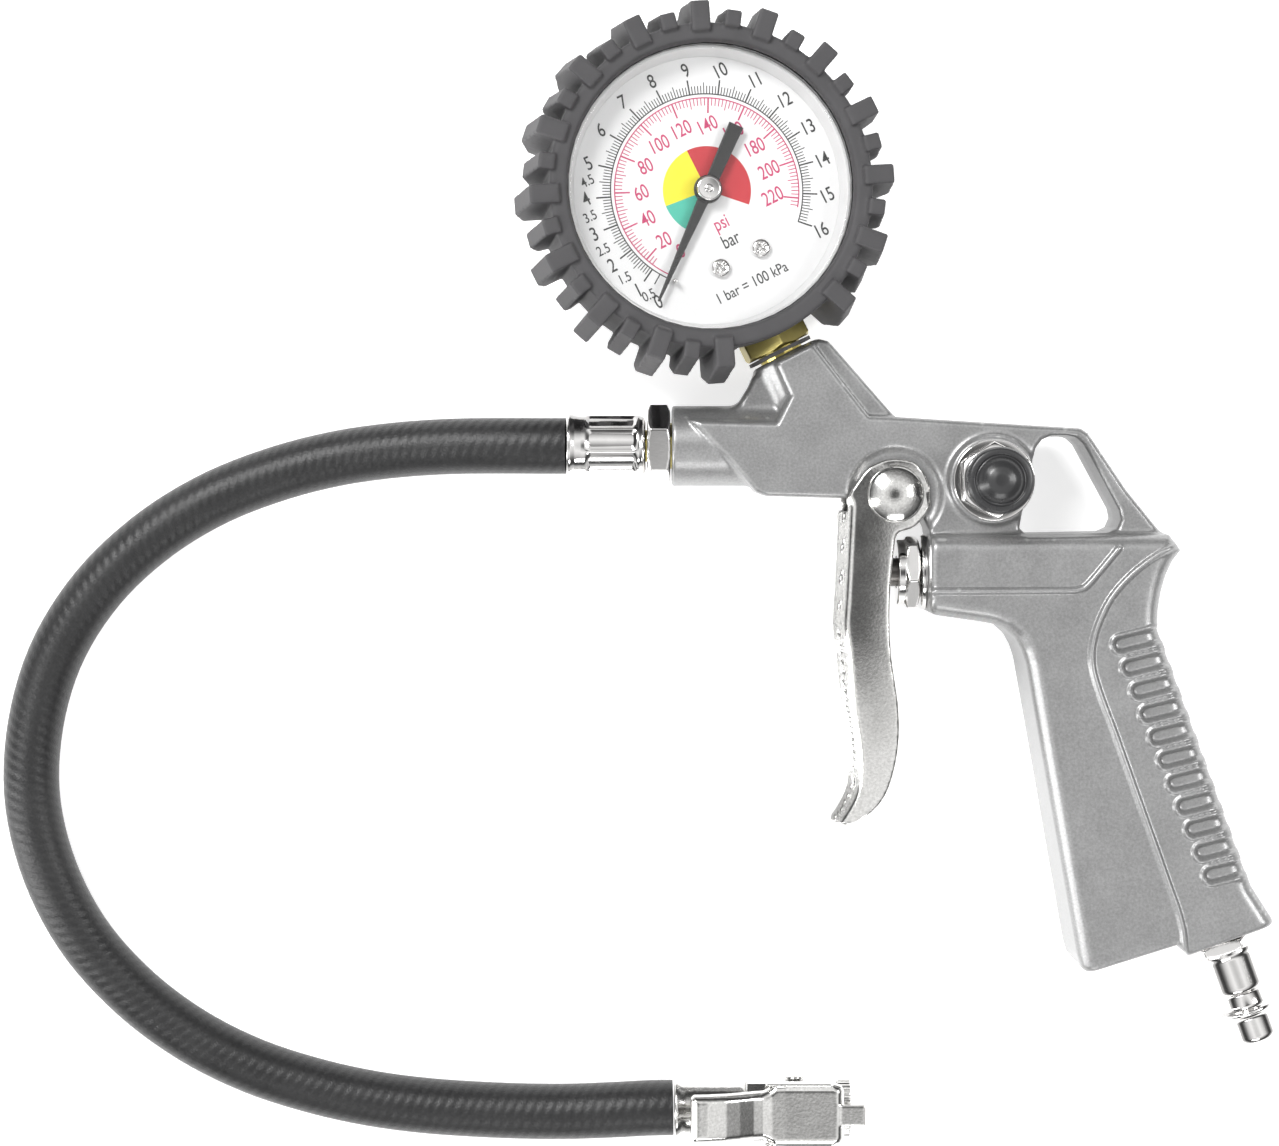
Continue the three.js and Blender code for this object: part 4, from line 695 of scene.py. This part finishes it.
field_piece("trigger_plate", "trigger", PLATED, (-17.5, -73, -11), (9, 9, 11), 0.33, trigger, GUN,
            ["trigger_lever"])
RIVET_DOME = [(5.6 - 0.7 * k, 13.1 - 1.6 * (1 - k / 8) ** 2) for k in range(8)]
turned_piece("pivot_rivet", "gun", PLATED,
             two_headed([(2.8, 10.6), (6.0, 10.6), (5.95, 11.1), *RIVET_DOME, (0, 13.1)]), GUN,
             ["trigger_rivet"], 0.25)

# %% [markdown]
# ## Hexagons and fittings
# A nut is a hexagon bar whose two ends were turned to a shallow cone, so each face ends in an arc. The
# same field does it: three pairs of flats, cut by two cones. Washers, collars and the knurled and crimped
# parts are turned, some with a radius that changes as the profile goes round.

# %% Nuts and washers
def hexagon(x, y, z, across, low, high, spin):
    faces = [math.radians(spin) + k * math.pi / 3 + math.pi / 6 for k in range(3)]
    flats = np.maximum.reduce([np.abs(x * math.cos(a) + y * math.sin(a)) for a in faces]) - across / 2
    reach = np.hypot(x, y) - across / 2 * 0.99
    cones = 0.5 * np.maximum(reach - (high - z) * 1.9, reach - (z - low) * 1.9)
    return both(both(flats, cones, 0.2), np.maximum(z - high, low - z), 0.25)


def pipe(x, y, z, radius, low, high):
    return np.maximum(np.hypot(x, y) - radius, np.maximum(low - z, z - high))


def gland(x, y, z):
    nut = hexagon(x, y, z, 14.0, -4.9, -1.8, 12)
    collar = both(pipe(x, y, z, 7.0, -6.5, -4.6), np.hypot(x, y) - 7.4 - (z + 6.5) * 0.9, 0.5)
    whole = np.minimum(join(nut, collar, 0.3), pipe(x, y, z, 5.2, -2, 5))
    return np.maximum(whole, 3.4 - np.hypot(x, y))


def bleed_bush(x, y, z):
    whole = np.minimum(hexagon(x, y, z, 14.2, 12.5, 16.5, 33), pipe(x, y, z, 5.9, 7.4, 13))
    return np.maximum(whole, 5.55 - np.hypot(x, y))


def muzzle_nut(x, y, z):
    return np.maximum(hexagon(x, y, z, 15.5, 0.3, 5.3, 23.7), 5.2 - np.hypot(x, y))


def ring_profile(inner, outer, low, high):
    return [(inner, low), (outer, low), (outer, high), (inner, high)]


def nut_piece(name, half, low, high, distance, place, node):
    field_piece(name, "gun", CHROME, (-half, -half, low), (half, half, high), 0.22, distance, place,
                [node])


def washer_piece(name, inner, outer, low, high, place, node, edge):
    turned_piece(name, "gun", CHROME, ring_profile(inner, outer, low, high), place, [node], edge)


nut_piece("gland_hex", 9, -7, 5.5, gland, VALVE, "gland_nut")
washer_piece("gland_ring", 5.5, 8.0, -1.5, -0.3, VALVE, "gland_washer", 0.3)
nut_piece("bleed_hex", 9, 7, 17, bleed_bush, BLEED, "bleed_nut")
washer_piece("bleed_ring", 6.2, 8.6, 11.2, 12.2, BLEED, "bleed_washer", 0.25)
nut_piece("muzzle_hex", 9.5, 0, 5.6, muzzle_nut, MUZZLE, "hose_nut")
turned_piece("plunger_rod", "valve", DARK_STEEL,
             [(0, -17.2), (3.05, -17.2), (3.05, 5.6), (2.15, 5.6), (2.15, 7.4), (3.05, 7.4), (3.05, 10.7),
              (0, 10.7)],
             VALVE, ["valve_plunger"], 0.35)

# %% Bleed button
turned_piece("bleed_knob", "bleed", BLACK_GLOSS,
             [(0, 9.9), (5.2, 9.9), (5.2, 19.5), (6.7, 19.5), (7.0, 20.0), (7.0, 23.6), (6.6, 24.5),
              (5.5, 24.7),
              (5.2, 24.3), (4.9, 24.4), (4.0, 25.4), (2.8, 26.1), (1.4, 26.5), (0, 26.6)],
             BLEED, ["bleed_button"], 0.3)

# %% Inlet plug
def plug_hex(x, y, z):
    turned_part = np.maximum(np.hypot(x, y) - 5.0, np.maximum(-7 - z, z - 3.3))
    return np.maximum(np.minimum(hexagon(x, y, z, 14.2, 1.2, 3.8, 12), turned_part), 2.6 - np.hypot(x, y))


nut_piece("plug_hexagon", 9, -7.5, 4.2, plug_hex, INLET, "inlet_nipple")
turned_piece("plug_stem", "gun", CHROME,
             [(2.6, 3.4), (5.9, 3.4), (6.1, 4.6), (5.8, 5.4), (5.8, 12.2), (5.6, 12.9), (4.9, 13.6),
              (4.9, 16.2),
              (5.2, 16.8), (6.1, 17.3), (6.1, 18.0), (5.2, 18.6), (4.8, 19.2), (4.8, 23.6), (4.4, 24.5),
              (2.6, 24.5)],
             INLET, (), 0.35)
washer_piece("plug_washer", 5.3, 7.6, 0.3, 0.9, INLET, "nipple_washer", 0.2)
turned_piece("grip_screw", "gun", PAINT, [(0, -2.4), (1.3, -2.4), (1.3, 1.2), (0.9, 1.9),
                                                     (0, 2.0)],
             at(58.9, -95.6) @ turn(INLET_ANGLE, "Z") @ turn(90, "X"), ["grip_plug"], 0.2, 32)

# %% Crimped ferrule
FERRULE_START, FERRULE_END, SLEEVE = 5.6, 22.4, 6.6


def crimped(radius, z, angle):
    """Eight flats pressed into the sleeve, fading out towards both ends."""
    if radius < 6.0:
        return radius
    fade = ramp(z, FERRULE_START + 1.6, FERRULE_START + 3.0) * (1 - ramp(z, FERRULE_END - 5.4,
                                                                         FERRULE_END - 3.6))
    off = (math.degrees(angle) + 11) % 45 - 22.5
    flat = min(SLEEVE + 0.02, 5.95 / math.cos(math.radians(off)) + 0.25 * abs(off / 22.5) ** 4)
    return radius + float(fade) * (flat - SLEEVE)


turned_piece("crimped_ferrule", "gun", CHROME,
             [(3.8, FERRULE_START), (5.6, FERRULE_START), (6.3, FERRULE_START + 0.5),
              (SLEEVE, FERRULE_START + 1.4),
              *[(SLEEVE, FERRULE_START + 1.6 + 0.28 * i) for i in range(6)],
              *[(SLEEVE, 11 + i * 1.5) for i in range(4)],
              *[(SLEEVE, FERRULE_END - 5.4 + 0.3 * i) for i in range(7)],
              (6.65, FERRULE_END - 3.0), (6.9, FERRULE_END - 1.6), (7.25, FERRULE_END - 0.6),
              (7.15, FERRULE_END),
              (6.2, FERRULE_END), (6.1, FERRULE_START + 1.2), (3.8, FERRULE_START + 1.2)],
             MUZZLE, ["hose_ferrule"], 0.2, 192, crimped)

# %% [markdown]
# ## The clip-on chuck
# The chuck is pressed and plated steel: a flared sleeve grips the hose, and a sprung lever covers the
# body, narrow over the sleeve and wide over the body, with its two sides folded down to the pin. A tongue
# at its front hooks on a valve's thread. The plating is thick and sparkles.

# %% Chuck
ALONG_CHUCK = CHUCK @ turn(90, "Y")
turned_piece("flared_sleeve", "gun", PLATED,
             [(5.9, 0), (7.45, 0), (7.65, 0.4), (7.4, 1.2), (6.9, 2.3), (6.6, 3.6), (6.5, 5.2), (6.5, 14.6),
              (6.1, 15.5),
              (3.8, 15.5), (3.8, 14.3), (6.0, 14.3)], ALONG_CHUCK, ["chuck_ferrule"], 0.3)


def knurled(radius, z, angle):
    return radius - 0.22 * (0.5 + 0.5 * math.cos(angle * 40)) if radius > 6.3 else radius


turned_piece("knurled_cap", "gun", PLATED, ring_profile(4.2, 6.5, 35.3, 38.2), ALONG_CHUCK,
             ["chuck_end_cap"], 0.3, 240, knurled)

LEVER_TOP, LEVER_SHEET = 7.8, 1.2
PLATE_SIDE = [(36.6, 5.2), (36.0, 6.4), (34.6, 6.9), (22.2, 6.9), (21.2, 6.7), (20.0, 5.7), (19.0, 5.3),
              (4.0, 5.3),
              (3.3, 4.6)]
PLATE_OUTLINE = [*[(px, -py) for px, py in reversed(PLATE_SIDE)], *PLATE_SIDE]
PLATE_LINE, PLATE_RISE = [0, 3.3, 7, 11, 14, 17, 19, 21, 24, 40], [5.2, 5.1, 4.75, 3.85, 2.6, 1.15, 0.45,
                                                                   0.12, 0, 0]


def chuck_clip(x, y, z):
    rise = np.interp(x, PLATE_LINE, PLATE_RISE)
    edge = outline_field(PLATE_OUTLINE, x, y)
    rolled = 1.3 * np.clip(1 + edge / 1.8, 0, 1) ** 2
    top = both(edge, np.abs(z - LEVER_TOP - rise - LEVER_SHEET / 2 + rolled) - LEVER_SHEET / 2, 0.5)
    side = outline_field([(19.5, 9), (34, 9), (34, 5.8), (28.6, 0.9), (23.4, 0.9), (19.5, 5.8)], x, z)
    side = both(side, np.abs(np.abs(y) - 6.7) - 0.28, 0.2)
    tongue = both(both(np.abs(y) - 2.3, np.abs(x - 38.0) - 3.2, 0.4), np.abs(z - 8.2) - 0.6, 0.3)
    clip = join(join(top, side, 0.8), tongue, 0.4)
    return np.maximum(clip, 1.5 - np.hypot(x - 26.0, z - 3.2))


field_piece("chuck_clip_plate", "chuck_clip", PLATED, (2, -7.8, 0.2), (42, 7.8, 15.4), 0.25,
            chuck_clip,
            CHUCK, ["chuck_lever"])
turned_piece("clip_rivet", "gun", PLATED,
             two_headed([(1.2, 7.2), (2.1, 7.2), (2.1, 7.6), (1.5, 8.0), (0, 8.2)]),
             CHUCK @ Matrix.Translation(Vector((26.0, 0, 3.2)) * MM) @ turn(-90, "X"), ["chuck_pin"], 0.15,
             48)

# %% [markdown]
# ## The gauge boot
# The boot is moulded like a tyre: a ring with fifteen long lugs and, between them, fourteen short ones,
# each with a roof-shaped side that peaks at the mould's parting line. The lugs repeat, so one lug is
# written in polar terms and the angle is folded back on to it.

# %% Boot
BOOT_BACK, BOOT_FRONT, BOOT_RADIUS, WINDOW, CASE_RADIUS = -9.73, 17.3, 34.0, 30.0, 31.5
BOOT_MIDDLE = (BOOT_BACK + BOOT_FRONT) / 2
LUG_PEAK = BOOT_FRONT + (BOOT_BACK - BOOT_FRONT) * 0.62
LUG_PITCH, LUG_FLOOR = 22.5, 32.4


def lugs(radius, angle, z, tip, peak, root, half, shift, missing):
    """One ring of lugs from the radius and angle; angles near straight down carry none."""
    folded = (angle - shift + LUG_PITCH / 2) % LUG_PITCH - LUG_PITCH / 2
    across = radius * np.sin(np.radians(folded))
    out = radius * np.cos(np.radians(folded))
    front = BOOT_FRONT + 1.2
    side = outline_field([(LUG_FLOOR, BOOT_BACK), (tip, BOOT_BACK), (peak, LUG_PEAK), (tip, front),
                          (root + 0.8, front), (root, BOOT_FRONT - 0.2), (LUG_FLOOR, BOOT_FRONT - 0.2)], out,
                          z)
    lug = both(side, np.abs(across) - half, 0.3)
    below = np.abs((angle + 90 + 180) % 360 - 180)
    return np.maximum(lug, (missing - below) * 0.3)


def boot(x, y, z):
    radius, angle = np.hypot(x, y), np.degrees(np.arctan2(y, x))
    faces = np.abs(z - BOOT_MIDDLE) - (BOOT_FRONT - BOOT_BACK) / 2
    ring = slab(np.maximum(radius - BOOT_RADIUS, 25.0 - radius), faces, 0.9)
    pocket = np.maximum(radius - CASE_RADIUS - 0.3, np.maximum(-9.0 - z, z - BOOT_FRONT + 2.1))
    window = np.maximum(radius - WINDOW - 0.45 * np.maximum(z - BOOT_FRONT + 1.3, 0), BOOT_FRONT - 2.2 - z)
    ring = cut(cut(ring, pocket, 0.3), window, 0.3)
    treads = np.minimum(lugs(radius, angle, z, 38.3, 40.4, 31.5, 2.0, 0, 12),
                        lugs(radius, angle, z, 36.6, 38.8, 32.6, 1.7, LUG_PITCH / 2, 20))
    whole = join(ring, treads, 0.3)
    notch = np.maximum(np.abs(x) - 8.7, np.maximum(y + 20, z - 8.7))
    return np.maximum(whole, -notch)


BOOT_STEP = 0.4
field_piece("tyre_boot", "gun", RUBBER, (-41.4, -41.4, -10.6), (41.4, 41.4, 19.4), BOOT_STEP, boot,
            DIAL,
            ["gauge_boot"])

# %% [markdown]
# ## The dial
# The dial is a white plate with two printed scales. The black one counts bar and is crowded below one, so
# its first stretch has a scale of its own. The crimson one counts pounds per square inch and follows the
# same law. Lines are thin flat quads and the numbers are a plain font, turned into one printed mesh.

# %% Dial: scales
DIAL_FACE, FIGURE_HEIGHT = 8.1, 0.70
ZERO_ANGLE, ONE_BAR_ANGLE, BAR_STEP = 50.4, 61.2, 16.893
PSI = 0.0689476


def dial_angle(bar):
    if bar < 1:
        return ZERO_ANGLE + (ONE_BAR_ANGLE - ZERO_ANGLE) * bar
    return ONE_BAR_ANGLE + BAR_STEP * (bar - 1)


def on_dial(radius, degrees):
    """A point on the dial, by its angle clockwise from six o'clock."""
    angle = math.radians(degrees)
    return Vector((-radius * math.sin(angle), -radius * math.cos(angle)))


class Print:
    """Collects flat ink shapes for one mesh, each with its ink."""

    def __init__(self):
        self.vertices, self.faces, self.inks = [], [], []

    def shape(self, points, faces, ink, level=0.03):
        start = len(self.vertices)
        self.vertices += [(x, y, DIAL_FACE + level) for x, y in points]
        self.faces += [tuple(start + i for i in face) for face in faces]
        self.inks += [ink] * len(faces)

    def line(self, angle, inner, outer, width, ink):
        a, b = on_dial(inner, angle), on_dial(outer, angle)
        side = (b - a).normalized().orthogonal() * width / 2
        self.shape([a - side, a + side, b + side, b - side], [(0, 1, 2, 3)], ink)

    def arc(self, start, end, inner, outer, ink, level=0.03):
        count = max(2, int(abs(end - start) / 2))
        angles = [start + (end - start) * i / count for i in range(count + 1)]
        points = [on_dial(r, a) for a in angles for r in (inner, outer)]
        self.shape(points, [(2 * i, 2 * i + 1, 2 * i + 3, 2 * i + 2) for i in range(count)], ink, level)

    def words(self, text, centre, height, ink, stretch=0.8):
        """Text whose figures are `height` tall, with its middle at the centre."""
        font = bpy.data.curves.new("words", "FONT")
        font.body, font.align_x, font.offset = text, "LEFT", 0.006
        holder = bpy.data.objects.new("words", font)
        flat = holder.to_mesh()
        places = np.array([vertex.co[:2] for vertex in flat.vertices])
        low, high = places.min(0), places.max(0)
        scale = height / FIGURE_HEIGHT
        places = (places - [(low[0] + high[0]) / 2, FIGURE_HEIGHT / 2]) * [scale * stretch,
                                                                           scale] + np.array(centre)
        self.shape([tuple(p) for p in places], [tuple(face.vertices) for face in flat.polygons], ink, 0.04)
        holder.to_mesh_clear()
        bpy.data.objects.remove(holder)
        bpy.data.curves.remove(font)


BLACK, CRIMSON, RED, YELLOW, TEAL = range(5)
BAR_LINE, BAR_LONG, BAR_MIDDLE, BAR_SHORT = 20.4, 23.6, 22.9, 22.2
PSI_LINE, PSI_LONG, PSI_MIDDLE, PSI_SHORT = 19.6, 16.4, 17.4, 18.0
dial = Print()
dial.arc(dial_angle(0), dial_angle(16), 20.35, 20.6, BLACK)
for tenth in range(10, 161):
    whole, half = tenth % 10 == 0, tenth % 5 == 0
    length = BAR_LONG if whole else BAR_MIDDLE if half else BAR_SHORT
    dial.line(dial_angle(tenth / 10), BAR_LINE, length, 0.33 if whole else 0.2, BLACK)
for bar, length in ((0, BAR_LONG), (0.5, BAR_MIDDLE)):
    dial.line(dial_angle(bar), BAR_LINE, length, 0.25, BLACK)
for bar in (0.5, 1.5, 2.5, 3.5, 4.5):
    dial.words(f"{bar:g}", on_dial(25.5, dial_angle(bar)), 2.1, BLACK)
for bar in range(0, 17):
    dial.words(str(bar), on_dial(25.8, dial_angle(bar)), 2.95, BLACK, 0.75)
dial.arc(dial_angle(0), dial_angle(225 * PSI), 19.5, 19.75, CRIMSON)
for psi in range(16, 226, 2):
    whole, half = psi % 20 == 0, psi % 10 == 0
    length = PSI_LONG if whole else PSI_MIDDLE if half else PSI_SHORT
    dial.line(dial_angle(psi * PSI), length, PSI_LINE, 0.34 if whole else 0.2, CRIMSON)
for psi in range(0, 221, 20):
    dial.words(str(psi), on_dial(14.0, dial_angle(psi * PSI)), 3.0, CRIMSON, 0.72)
for start, end, ink in ((0, 3, TEAL), (3, 8, YELLOW), (8, 16, RED)):
    dial.arc(dial_angle(start), dial_angle(end), 2.0, 9.4, ink, 0.02)
dial.words("psi", (-0.4, -7.3), 2.9, CRIMSON, 0.72)
dial.words("bar", (-0.1, -11.4), 2.9, BLACK, 0.72)
dial.words("1 bar = 100 kPa", (0, -21.6), 2.3, BLACK, 0.8)
new_piece("dial_print", "gun", INKS, dial.vertices, dial.faces, DIAL, which=dial.inks)
print("printed shapes", len(dial.faces))

# %% Dial: rim, screws, needle and lens
turned_piece("dial_rim", "gun", WHITE_PLASTIC,
             [(28.3, 8.15), (30.15, 8.15), (30.15, 12.6), (29.3, 12.6)],
             DIAL, (), 0.2, 128)


def dial_screw(x, y, z):
    head = both(np.hypot(x, y) - 1.95, np.hypot(np.hypot(x, y), z - 5.2) - 4.4, 0.3)
    u, v = np.abs(x), np.abs(y)
    cross = np.minimum(np.maximum(u - 0.25, v - 1.15), np.maximum(v - 0.25, u - 1.15))
    head = cut(np.maximum(head, 8.4 - z), np.maximum(cross, 8.9 - z), 0.15)
    return np.minimum(head, np.maximum(np.hypot(x, y) - 0.75, np.maximum(3 - z, z - 8.6)))


for number, side in ((1, 1), (2, -1)):
    place = DIAL @ Matrix.Translation(Vector((side * 4.8, -16.0, 0)) * MM) @ turn(24, "Z")
    field_piece(f"dial_screw_head_{number}", "gun", CHROME, (-2.4, -2.4, 2.6), (2.4, 2.4, 9.9),
                0.12,
                dial_screw, place, [f"dial_screw_{number}"])

NEEDLE, NEEDLE_LEVEL = DIAL @ turn(90 - ZERO_ANGLE, "Z"), 9.9
NEEDLE_SIDE = [(0, 1.35), (-26, 0.28), (-26, -0.28), (0, -1.35), (2, -1.35), (15, -1.65), (15, 1.65),
               (2, 1.35)]


def needle(x, y, z):
    deep, radius = np.abs(z - NEEDLE_LEVEL), np.hypot(x, y)
    blade = both(outline_field(NEEDLE_SIDE, x, y), deep - 0.3, 0.2)
    whole = np.minimum(blade, both(radius - 3.0, deep - 0.62, 0.3))
    return np.maximum(whole, 0.6 - radius)


field_piece("needle", "pointer", NEEDLE_BLACK, (-27, -3.6, 8.9), (16, 3.6, 10.9), 0.14,
            needle,
            NEEDLE, ["gauge_pointer"])
turned_piece("needle_cap", "pointer", CHROME,
             [(0, 11.2), (2.4, 11.2), (2.6, 11.4), (2.55, 11.9), (2.2, 12.05), (0.9, 11.9), (0.75, 12.1),
              (0.4, 12.2),
              (0, 12.2)], DIAL, ["pointer_hub"], 0.12, 64)
turned_piece("stop_pin", "gun", CHROME, [(0, 8.4), (0.5, 8.4), (0.5, 10.5), (0.3, 10.8), (0, 10.8)],
             DIAL @ Matrix.Translation((*(on_dial(20.7, 46.2) * MM), 0)), ["pointer_stop_pin"], 0.1, 32)
turned_piece("clear_pane", "gun", GLASS,
             [(0, 13.1), (29.5, 13.1), (29.5, 14.5), (28.9, 14.5), (15, 14.75), (0, 14.8)],
             DIAL, ["gauge_lens"], 0.3, 128)

# %% [markdown]
# ## Pieces that keep their CAD shape
# The rest are right as they are, most of them hidden: they get the finish of their slot, and the few that
# show get a small bevel so their edges catch the light.

# %% Finishes for the CAD pieces
SLOT_FINISH = {"casting": PAINT, "chrome": PLATED, "dark_steel": DARK_STEEL, "steel": STEEL, "brass": BRASS,
               "rubber": RUBBER, "hose_rubber": HOSE_RUBBER, "black_plastic": BLACK_GLOSS,
               "pointer_black": NEEDLE_BLACK, "lens": GLASS, "dial": DIAL_WHITE}
for part in frame["record"]["subparts"]:
    node = frame["nodes"][part["node"]]
    node.data.materials.clear()
    node.data.materials.append(SLOT_FINISH[part["material_slot"]])
for name in ("gauge_socket", "chuck_body", "gauge_case"):
    bevel = frame["nodes"][name].modifiers.new("broken edges", "BEVEL")
    bevel.width, bevel.segments, bevel.limit_method = 0.2 * MM, 2, "ANGLE"
    bevel.angle_limit, bevel.harden_normals = math.radians(35), True

# %% [markdown]

# %% [markdown]
# ## Floor and light
# A plain pale sheet lies under everything, and large soft lights stand round it: a strong one high on the
# left, a wide fill on the right, a low one in front and a tall strip on the left. The walls round them are
# banded light and dark, with a dark gap straight overhead, which is what the plating reflects.

# %% Floor and lights
FLOOR_REACH, FLOOR_DROP = 3, 0.0002
floor_mesh = bpy.data.meshes.new("floor")
floor_mesh.from_pydata([(x * FLOOR_REACH, y * FLOOR_REACH, -FLOOR_DROP) for x,
                        y in ((-1, -1), (1, -1), (1, 1), (-1, 1))],
                       [], [(0, 1, 2, 3)])
floor = bpy.data.objects.new("floor", floor_mesh)
bpy.context.scene.collection.objects.link(floor)
paper = bpy.data.materials.new("pale paper")
paper.use_nodes = True
for label, value in (("Base Color", (0.80, 0.80, 0.80, 1)), ("Roughness", 0.9),
                     ("Emission Color", (1, 1, 1, 1)),
                     ("Emission Strength", 0.62)):
    paper.node_tree.nodes["Principled BSDF"].inputs[label].default_value = value
floor_mesh.materials.append(paper)


def soft_light(name, place, aim, size, watts, height=None):
    lamp = bpy.data.lights.new(name, "AREA")
    lamp.shape, lamp.size, lamp.size_y, lamp.energy = "RECTANGLE", size, height or size, watts
    holder = bpy.data.objects.new(name, lamp)
    holder.location = place
    holder.rotation_mode = "QUATERNION"
    holder.rotation_quaternion = (Vector(aim) - Vector(place)).to_track_quat("-Z", "Y")
    bpy.context.scene.collection.objects.link(holder)


soft_light("key", (-0.55, 0.62, 0.95), (0, 0, 0), 0.42, 12)
soft_light("fill", (0.8, 0.15, 0.85), (0, 0, 0), 0.4, 5)
soft_light("front", (0.05, -0.8, 0.55), (0, -0.1, 0), 0.5, 2.2, 0.2)
soft_light("strip_left", (-0.75, -0.3, 0.3), (0, -0.05, 0), 0.16, 5.0, 0.9)

world = bpy.data.worlds.new("studio")
bpy.context.scene.world = world
world.use_nodes = True
sky = world.node_tree
height = sky.nodes.new("ShaderNodeSeparateXYZ")
sky.links.new(sky.nodes.new("ShaderNodeTexCoord").outputs["Generated"], height.inputs[0])
walls = sky.nodes.new("ShaderNodeValToRGB")
WALLS = ((0.0, 0.9), (0.14, 0.85), (0.26, 0.10), (0.46, 0.06), (0.60, 0.30), (0.74, 0.95),
         (0.90, 1.55), (0.965, 1.0), (0.990, 0.20), (1.0, 0.11))
for place, grey in WALLS:
    ends = {0: walls.color_ramp.elements[0], 1: walls.color_ramp.elements[-1]}
    step = ends.get(place) or walls.color_ramp.elements.new(place)
    step.color = (grey, grey, grey, 1)
sky.links.new(height.outputs["Z"], walls.inputs["Fac"])
sky.links.new(walls.outputs["Color"], sky.nodes["Background"].inputs["Color"])
sky.nodes["Background"].inputs["Strength"].default_value = 0.8
bpy.context.scene.view_settings.view_transform = "Standard"
